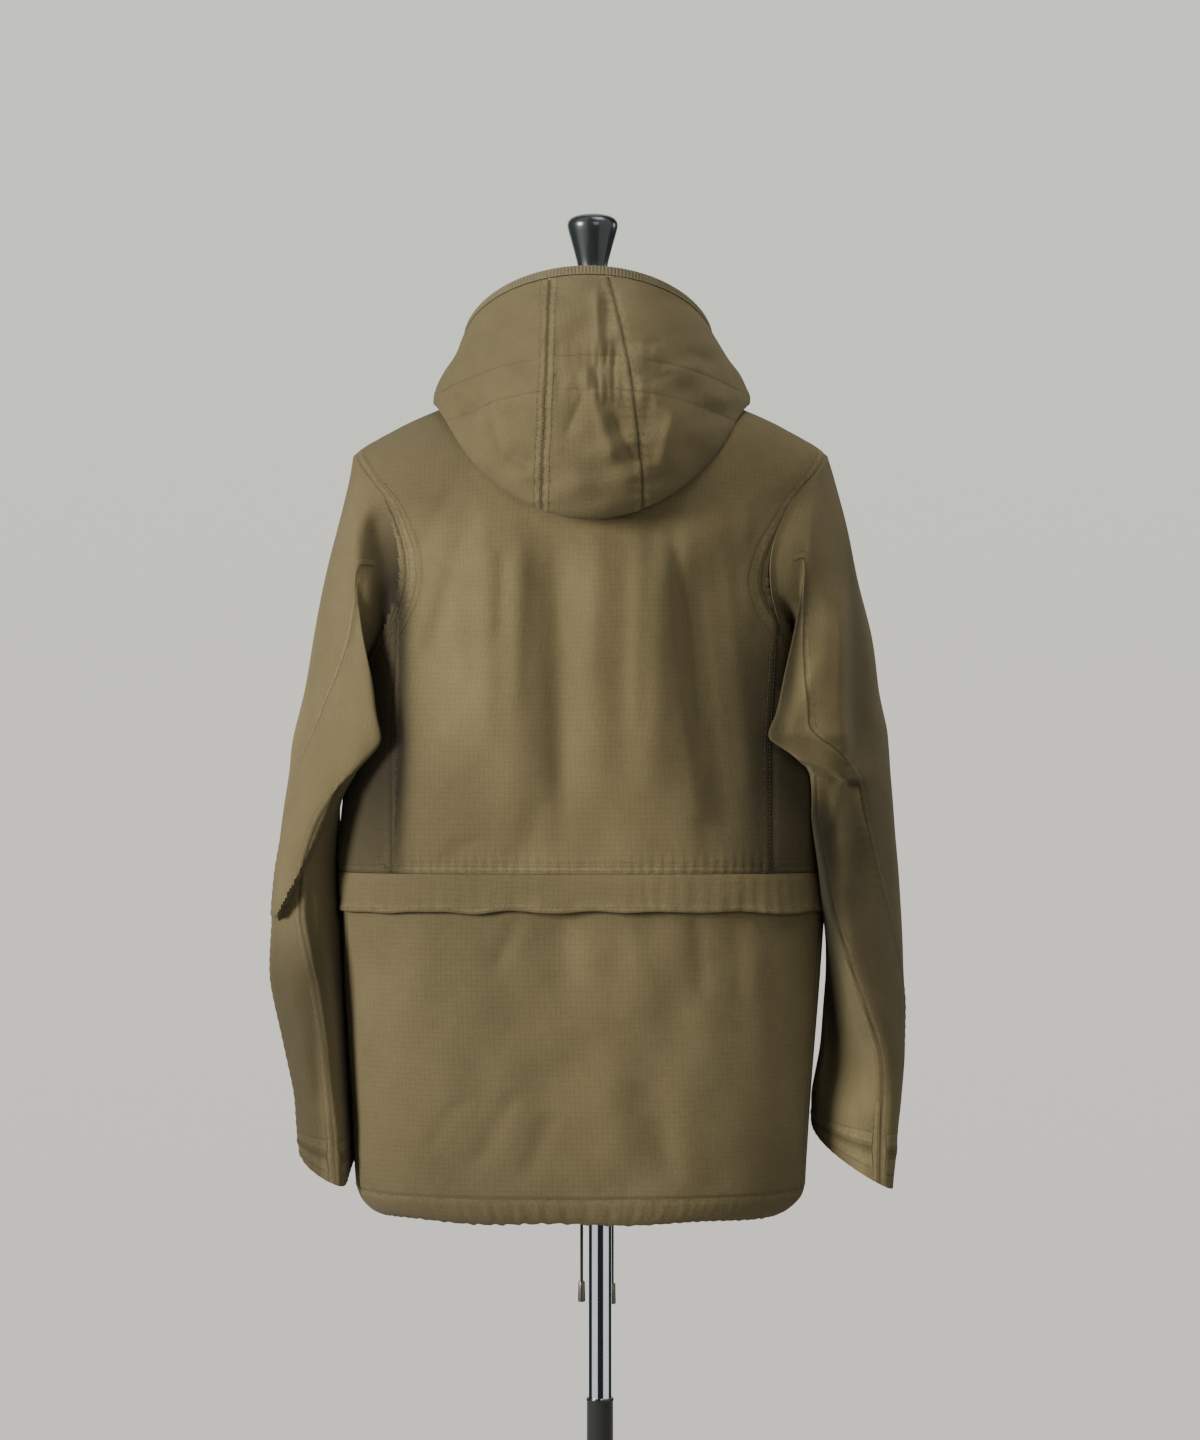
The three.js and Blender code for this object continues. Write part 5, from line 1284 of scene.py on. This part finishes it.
def make_tape():
    count = 900
    turn = np.linspace(math.radians(90), math.radians(450), count)
    levels = np.array([HOOD_EDGE + 0.035, HOOD_EDGE + 0.08, HOOD_EDGE + 0.15, HOOD_EDGE + 0.25,
                       HOOD_EDGE + 0.33, HOOD_EDGE + 0.38, TAPE_EDGE])
    lv, an = np.meshgrid(levels, turn, indexing="ij")
    points = hood_ring(lv, an)
    _, normal = row_on(hood_ring, an, np.full_like(lv, HOOD_EDGE - 0.1), lift=0, du=0.01, dv=0.05)
    arc = np.cumsum(np.linalg.norm(np.diff(points[3], axis=0, prepend=points[3][:1]), axis=1))
    rib = 0.5 * np.sin(2 * math.pi * arc / RIB_PITCH)
    across = np.sin(np.linspace(0, math.pi, len(levels)))[:, None]
    points = points + normal * (0.4 + rib[None, :] * (0.4 + 0.6 * across))[..., None]
    points[:, -1] = points[:, 0]
    piece = sheet_mesh("hood_tape", points, TAPE, closed=True, thickness=2, offset=0)
    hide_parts("hood_edge_tape")


# Sleeves
def sleeve_seam(sleeve, t):
    rows = np.array(sleeve["seam"])
    return np.radians(np.interp(t, rows[:, 0], rows[:, 1]))


def make_sleeve(name, sleeve):
    count = len(sleeve["sections"]["z"])
    t = even_sleeve(sleeve, count)
    seam = sleeve_seam(sleeve, np.maximum(t, 0.5))[:, None]
    before = np.concatenate((np.linspace(0, 0.965, 48), [0.98, 0.992, 1.0]))[None, :]
    after = np.concatenate(([0.006, 0.015], np.linspace(0.03, 1.0, 68)))[None, :]
    an = np.concatenate((lerp(-math.pi / 2, seam, before), lerp(seam, 1.5 * math.pi, after)), axis=1)
    tt = np.repeat(t[:, None], an.shape[1], axis=1)
    points = sleeve_point(sleeve, tt, an)
    points[:, -1] = points[:, 0]
    normal = sleeve_normal(sleeve, tt, an)
    arc = np.cumsum(np.linalg.norm(np.diff(points, axis=1, prepend=points[:, :1]), axis=2), axis=1)
    distance = arc - arc[:, [50]]
    below = smooth(0.6, 1.2, tt)
    relief = -1.0 * bell(distance, 1.6) * below
    relief += 0.4 * np.sin(2 * math.pi * points[..., 2] / 9) * bell(np.abs(distance) - 4, 5) * below
    cuff = (count - tt) * 22
    relief += -0.8 * bell(cuff - 14, 1.6) + 0.4 * np.sin(2 * math.pi * arc / 11) * bell(cuff - 6, 6)
    points = points + normal * relief[..., None]
    points[:, -1] = points[:, 0]
    hidden = points[:1].copy()
    hidden[..., 0] -= sleeve["side"] * 4
    hidden[..., 1] += (hidden[..., 1] - ARMHOLE["y"]) * 0.03
    hidden[..., 2] += (hidden[..., 2] - ARMHOLE["z"]) * 0.03
    points = np.concatenate((hidden, points))
    tt, an, arc, distance, cuff = (np.concatenate((v[:1], v)) for v in (tt, an, arc, distance, cuff))
    edge = np.where(distance <= 0.01, -distance, FAR)
    edge = np.where(tt < 0.55, FAR, edge)
    edge = np.where(np.abs(cuff) < 34, np.minimum(np.abs(edge), np.abs(cuff - 14)), edge)
    ridge = np.abs(arc - np.array([np.interp(math.pi / 2, t_, a) for t_, a in zip(an, arc)])[:, None])
    edge = np.where((tt > 7) & (ridge < 6), -ridge, edge)
    outward = points.reshape(-1, 3).mean(axis=0)
    piece = sheet_mesh(name + "_cloth", points, COTTON, closed=True, edge=np.clip(edge, -FAR, FAR),
                       shade=sleeve_shade(points, sleeve["side"]), outward=outward)
    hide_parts(name + "_outer_panel", name + "_elbow_panel", name + "_under_panel")
    rows = []
    v = np.linspace(1.0, count - 0.05, 420)
    scale = np.interp(v, t, arc[1:, -1] / (2 * math.pi))
    for offset in (1.6, 7.0):
        u = sleeve_seam(sleeve, v) - offset / scale
        path = sleeve_point(sleeve, v, u)
        up = sleeve_normal(sleeve, v, u)
        rows.append((path + up * 0.3, up))
    return rows


def even_sleeve(sleeve, count):
    fine = np.linspace(0, count, 400)
    turns = np.radians([0, 60, 90, 120, 180, 270])
    p = sleeve_point(sleeve, fine[:, None], turns[None, :])
    step = np.linalg.norm(np.diff(p, axis=0), axis=2).mean(axis=1)
    length = np.concatenate(([0], np.cumsum(step)))
    return np.interp(np.linspace(0, length[-1], 196), length, fine)


def sleeve_normal(sleeve, t, turn):
    inside = np.clip(t, 0.05, len(sleeve["sections"]["z"]) - 0.03)
    du = sleeve_point(sleeve, inside, turn + 0.02) - sleeve_point(sleeve, inside, turn - 0.02)
    dv = sleeve_point(sleeve, inside + 0.03, turn) - sleeve_point(sleeve, inside - 0.03, turn)
    normal = np.cross(du, dv) * -sleeve["side"]
    return normal / (np.linalg.norm(normal, axis=-1, keepdims=True) + 1e-9)


def sleeve_patch(name, sleeve, stations, turns, lift, thickness, material, rows=16, columns=24):
    """A piece sewn on a sleeve, made from the sleeve's own surface moved out."""
    t = np.linspace(stations[0], stations[-1], rows)
    turn = np.linspace(turns[0], turns[1], columns)
    tt, an = np.meshgrid(t, turn, indexing="ij")
    base, normal = sleeve_point(sleeve, tt, an), sleeve_normal(sleeve, tt, an)
    height = lift(tt) if callable(lift) else np.full_like(tt, lift)
    edge = np.minimum(np.minimum(tt - t[0], t[-1] - tt) / (t[-1] - t[0]), np.minimum(an - turn[0], turn[-1] - an))
    points = base + normal * (height + thickness - 0.3 * bell(edge * 40, 1))[..., None]
    outward = base.reshape(-1, 3).mean(axis=0) - normal.reshape(-1, 3).mean(axis=0) * 60
    near = np.minimum(np.minimum(tt - t[0], t[-1] - tt) * 38, np.minimum(an - turn[0], turn[-1] - an) * 42)
    piece = sheet_mesh(name, points, material, thickness=thickness, edge=-near, outward=outward)
    frame_rows = []
    inset = 0.06
    for a, b in (((t[0], turn[0]), (t[-1], turn[0])), ((t[-1], turn[0]), (t[-1], turn[-1])),
                 ((t[-1], turn[-1]), (t[0], turn[-1])), ((t[0], turn[-1]), (t[0], turn[0]))):
        share = np.linspace(0, 1, 40)
        v = lerp(a[0], b[0], share)
        u = lerp(a[1], b[1], share)
        v = lerp(v, t.mean(), inset)
        u = lerp(u, turn.mean(), inset)
        up = sleeve_normal(sleeve, v, u)
        at = lift(v) if callable(lift) else lift
        path = sleeve_point(sleeve, v, u) + up * np.reshape(at + thickness + 0.2, (-1, 1))
        frame_rows.append((path, up))
    return piece, frame_rows


CUFFS = {
    "left": {"sleeve": LEFT_SLEEVE, "span": (12.8, 14.3), "turn": (98, 172), "patch": (174, 196), "patch_span": (12.8, 14)},
    "right": {"sleeve": RIGHT_SLEEVE, "span": (13.9, 15.5), "turn": (98, 160), "patch": (162, 188), "patch_span": (13.9, 15)},
}
FLAP_LIFTS = ([1.68, 1.9, 2.02, 2.35, 2.72], [0.95, 1.1, 3.5, 5, 10])


def make_sleeve_details():
    rows = []
    piece, more = sleeve_patch("pocket", LEFT_SLEEVE, (2.12, 4), np.radians([-32, 32]), 1.5, WALL, COTTON,
                               rows=30, columns=26)
    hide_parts("sleeve_pocket")
    rows += more
    piece, more = sleeve_patch("pocket_flap", LEFT_SLEEVE, (1.68, 2.72), np.radians([-35, 35]),
                               lambda t: np.interp(t, *FLAP_LIFTS), 1.8, COTTON,
                               rows=20, columns=26)
    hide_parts("sleeve_pocket_flap")
    rows += more
    for side, cuff in CUFFS.items():
        piece, more = sleeve_patch(f"{side}_tab", cuff["sleeve"], cuff["span"], np.radians(cuff["turn"]), 1.3, WALL,
                                   COTTON)
        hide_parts(f"{side}_cuff_tab")
        rows += more
        piece, more = sleeve_patch(f"{side}_patch", cuff["sleeve"], cuff["patch_span"], np.radians(cuff["patch"]),
                                   1.1, 1.2, LOOP, rows=12, columns=12)
        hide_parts(f"{side}_tab_patch")
    return rows


# Form and stand
FORM_GAPS = ([792, 860, 950, 1008, 1100, 1185, 1255, 1320, 1350, 1376, 1400, 1445, 1458, 1466],
             [16, 14, 24, 30, 24, 20, 17, 12, 6, 1.6, 0.4, 0.4, 2.4, 9])
NECK_RINGS = [(1484, 62, 54, 58), (1515, 58, 55, 57), (1550, 58, 57, 57), (1555, 56.5, 55.5, 55.5), (1556, 54, 53, 53)]


def make_form():
    turn = np.linspace(0, 2 * math.pi, 120)
    rings = []
    inset_extra = 0.25
    for level in np.concatenate((np.linspace(792, 1000, 14), np.linspace(1008, 1466, 60))):
        rows = SKIRT if level < 1003 else UPPER
        lv = np.full_like(turn, level)
        base = ring(rows, lv, turn)
        safe = np.clip(lv, rows["level"][0] + 0.6, rows["level"][-1] - 0.6)
        _, normal = row_on(lambda v, u: ring(rows, v, u), turn, safe, lift=0, dv=0.5)
        rings.append(base - normal * (WALL + np.interp(level, *FORM_GAPS) + inset_extra))
    for z, half, back, front in NECK_RINGS:
        depth = np.where(np.sin(turn) < 0, back, front)
        rings.append(np.stack([CAP_X + half * np.cos(turn), depth * np.sin(turn), np.full_like(turn, z)], axis=-1))
    bottom = rings[0].copy()
    rim = bottom.copy()
    rim[:, :2] = lerp(rim[:, :2], np.array([-18.0, 0.0]), 0.03)
    rim[:, 2] -= 0.0
    cut = [np.stack([11.6 * np.cos(turn), 11.6 * np.sin(turn), np.full_like(turn, z)], axis=-1) for z in (899, 793)]
    middle = [lerp(rim, cut[1], s) * [1, 1, 0] + [0, 0, 792] for s in (0.75, 0.5, 0.25)]
    lid = [lerp(rings[-1], np.array([CAP_X, 0.0, 1556.0]), s) for s in (0.5, 0.999)]
    stack = [lerp(cut[0], np.array([0.0, 0.0, 899.0]), 0.999), cut[0], cut[1]] + middle[::-1] + [rim] + rings + lid
    points = np.array(stack)
    bm = bmesh.new()
    bmesh.ops.create_grid(bm, x_segments=points.shape[1] - 1, y_segments=points.shape[0] - 1, size=1, calc_uvs=True)
    mesh = bpy.data.meshes.new("form")
    bm.to_mesh(mesh)
    flat = np.empty(len(mesh.vertices) * 3)
    mesh.vertices.foreach_get("co", flat)
    flat = flat.reshape(-1, 3)
    j = np.rint((flat[:, 0] + 1) / 2 * (points.shape[1] - 1)).astype(int)
    i = np.rint((flat[:, 1] + 1) / 2 * (points.shape[0] - 1)).astype(int)
    mesh.vertices.foreach_set("co", (points[i, j] * MM).ravel())
    bm.free()
    bm = bmesh.new()
    bm.from_mesh(mesh)
    bmesh.ops.remove_doubles(bm, verts=bm.verts, dist=2e-5)
    bmesh.ops.holes_fill(bm, edges=[e for e in bm.edges if e.is_boundary], sides=200)
    bmesh.ops.recalc_face_normals(bm, faces=bm.faces)
    bm.to_mesh(mesh)
    bm.free()
    piece = finish_mesh(link("form", mesh, LINEN), "form", sharp=60)
    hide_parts("form_torso")


def make_stand():
    cap = turned("cap", [
        (0, 1556.3), (17, 1556.3), (17, 1560.3), (13.3, 1565), (13.3, 1570), (13.7, 1576), (15.0, 1583), (16.6, 1589),
        (18.8, 1597), (20.8, 1604), (22.5, 1610), (23.6, 1614), (24.0, 1617), (23.7, 1619.5), (22.6, 1621.8),
        (20.6, 1624), (17.5, 1625.6), (13, 1626.8), (7, 1627.6), (0, 1628),
    ], CAP_X, 0, GLOSS, "form", 72)
    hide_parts("neck_cap")
    pole = turned("pole", [(0, 250), (10.4, 250), (11, 250.6), (11, 899), (10.4, 899.7), (0, 899.7)], 0, 0,
                  CHROME, "pole", 72)
    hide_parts("stand_pole")
    tube = turned("outer_tube", [
        (11.3, 14.3), (12.5, 14.3), (12.5, 506.5), (12.9, 507.4), (13, 508), (13, 509.4), (12.6, 510), (11.3, 510),
        (11.3, 14.3),
    ], 0, 0, TUBE, "stand", 72)
    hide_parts("stand_tube")
    base = turned("base", [
        (0, 0), (169.4, 0), (170, 0.6), (170, 4.4), (169.2, 5.6), (167, 8), (140, 9.2), (60, 12), (24, 13.6),
        (22.3, 14.4), (22, 15.4), (22, 51.5), (21.4, 53.3), (20, 54), (12.85, 54), (12.85, 14), (0, 14),
    ], 0, 0, BASE, "stand", 128)
    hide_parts("stand_base")


def make_eyelets():
    for cord in CORD_ENDS:
        x, face = cord["x"], hem_front_y(cord["x"]) + 1.2
        bm = bmesh.new()
        ring_profile = [(2.4, 0.05), (2.4, 0.9), (2.8, 1.35), (3.6, 1.4), (4.5, 1.1), (5.0, 0.5), (5.0, 0.05), (2.4, 0.05)]
        verts = [bm.verts.new((r * MM, h * MM, 0)) for r, h in ring_profile[:-1]]
        edges = [bm.edges.new((verts[k], verts[(k + 1) % len(verts)])) for k in range(len(verts))]
        bmesh.ops.spin(bm, geom=verts + edges, cent=(0, 0, 0), axis=(0, 1, 0), angle=2 * math.pi, steps=40,
                       use_duplicate=False)
        bmesh.ops.remove_doubles(bm, verts=bm.verts, dist=1e-7)
        bmesh.ops.recalc_face_normals(bm, faces=bm.faces)
        bmesh.ops.translate(bm, verts=bm.verts, vec=(x * MM, face * MM, CORD_HEIGHT * MM))
        mesh = bpy.data.meshes.new("eyelet")
        bm.to_mesh(mesh)
        bm.free()
        piece = finish_mesh(link(f"eyelet_{cord['side']}", mesh, TIP), "form")
        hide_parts(f"hem_eyelet_{cord['side']}")


# Floor, world and lights
def make_world():
    """A pale backdrop for the camera, and a dimmer room that lights the smock."""
    world = bpy.data.worlds.new("studio")
    bpy.context.scene.world = world
    world.use_nodes = True
    tree = world.node_tree
    room = tree.nodes["Background"]
    room.inputs["Color"].default_value = (0.9, 0.93, 1, 1)
    room.inputs["Strength"].default_value = 0.09
    backdrop = tree.nodes.new("ShaderNodeBackground")
    direction = tree.nodes.new("ShaderNodeSeparateXYZ")
    tree.links.new(tree.nodes.new("ShaderNodeTexCoord").outputs["Generated"], direction.inputs[0])
    height = remap(tree, direction.outputs[2], -0.2, 0.2, 0, 1)
    tree.links.new(mixed(tree, height, BACKDROP_LOW, BACKDROP_HIGH), backdrop.inputs["Color"])
    backdrop.inputs["Strength"].default_value = 1.0
    rays = tree.nodes.new("ShaderNodeLightPath")
    around = calc(tree, "ARCTAN2", direction.outputs[0], calc(tree, "MULTIPLY", direction.outputs[1], -1.0))
    windows = calc(tree, "SINE", calc(tree, "ADD", calc(tree, "MULTIPLY", around, WINDOW_COUNT), WINDOW_SHIFT))
    panes = tree.nodes.new("ShaderNodeBackground")
    tree.links.new(mixed(tree, remap(tree, windows, -0.25, 0.15, 0, 1), GAP_TONE, WINDOW_TONE), panes.inputs["Color"])
    seen = tree.nodes.new("ShaderNodeMixShader")
    tree.links.new(rays.outputs["Is Glossy Ray"], seen.inputs[0])
    tree.links.new(room.outputs[0], seen.inputs[1])
    tree.links.new(panes.outputs[0], seen.inputs[2])
    mix = tree.nodes.new("ShaderNodeMixShader")
    tree.links.new(rays.outputs["Is Camera Ray"], mix.inputs[0])
    tree.links.new(seen.outputs[0], mix.inputs[1])
    tree.links.new(backdrop.outputs[0], mix.inputs[2])
    tree.links.new(mix.outputs[0], tree.nodes["World Output"].inputs[0])


WINDOW_COUNT = 3.0
WINDOW_SHIFT = -1.8
WINDOW_TONE = (0.8, 0.86, 0.88, 1)
GAP_TONE = (0.02, 0.022, 0.024, 1)
BACKDROP_HIGH = (0.9, 0.92, 0.83, 1)
BACKDROP_LOW = (0.88, 0.83, 0.77, 1)


def make_studio():
    bm = bmesh.new()
    bmesh.ops.create_circle(bm, cap_ends=True, segments=96, radius=2.2)
    mesh = bpy.data.meshes.new("floor")
    bm.to_mesh(mesh)
    bm.free()
    floor = link("floor", mesh, plain("pale_floor", (0.5, 0.49, 0.47), 0.9, grain=0.1, scale=40))
    floor.location.z = -0.0005
    make_world()
    lights = [
        ("key", (-3.1, -1.85, 1.8), 1.2, 205, (1, 0.985, 0.95)),
        ("front", (1.1, -3.7, 1.9), 1.6, 26, (1, 0.99, 0.97)),
        ("top", (0.7, -0.7, 3.3), 1.2, 26, (1, 0.99, 0.97)),
        ("rim", (2.6, 1.2, 1.8), 0.8, 7, (0.97, 0.98, 1)),
    ]
    for name, place, size, power_w, color in lights:
        data = bpy.data.lights.new(name, "AREA")
        data.size = size
        data.energy = power_w
        data.color = color
        light = bpy.data.objects.new(name, data)
        light.location = place
        aim = Vector((0, 0, 1.2)) - Vector(place)
        light.rotation_euler = aim.to_track_quat("-Z", "Y").to_euler()
        light.visible_camera = False
        bpy.context.collection.objects.link(light)


stitch_rows = make_body()
stitch_rows += make_placket()
stitch_rows += make_band()
stitch_rows += make_skirt()
make_hem()
stitch_rows += make_hood()
make_tape()
stitch_rows += make_sleeve("left_sleeve", LEFT_SLEEVE)
stitch_rows += make_sleeve("right_sleeve", RIGHT_SLEEVE)
stitch_rows += make_sleeve_details()
stitch_mesh("stitching", stitch_rows, THREAD)
make_form()
make_stand()
make_eyelets()
make_studio()
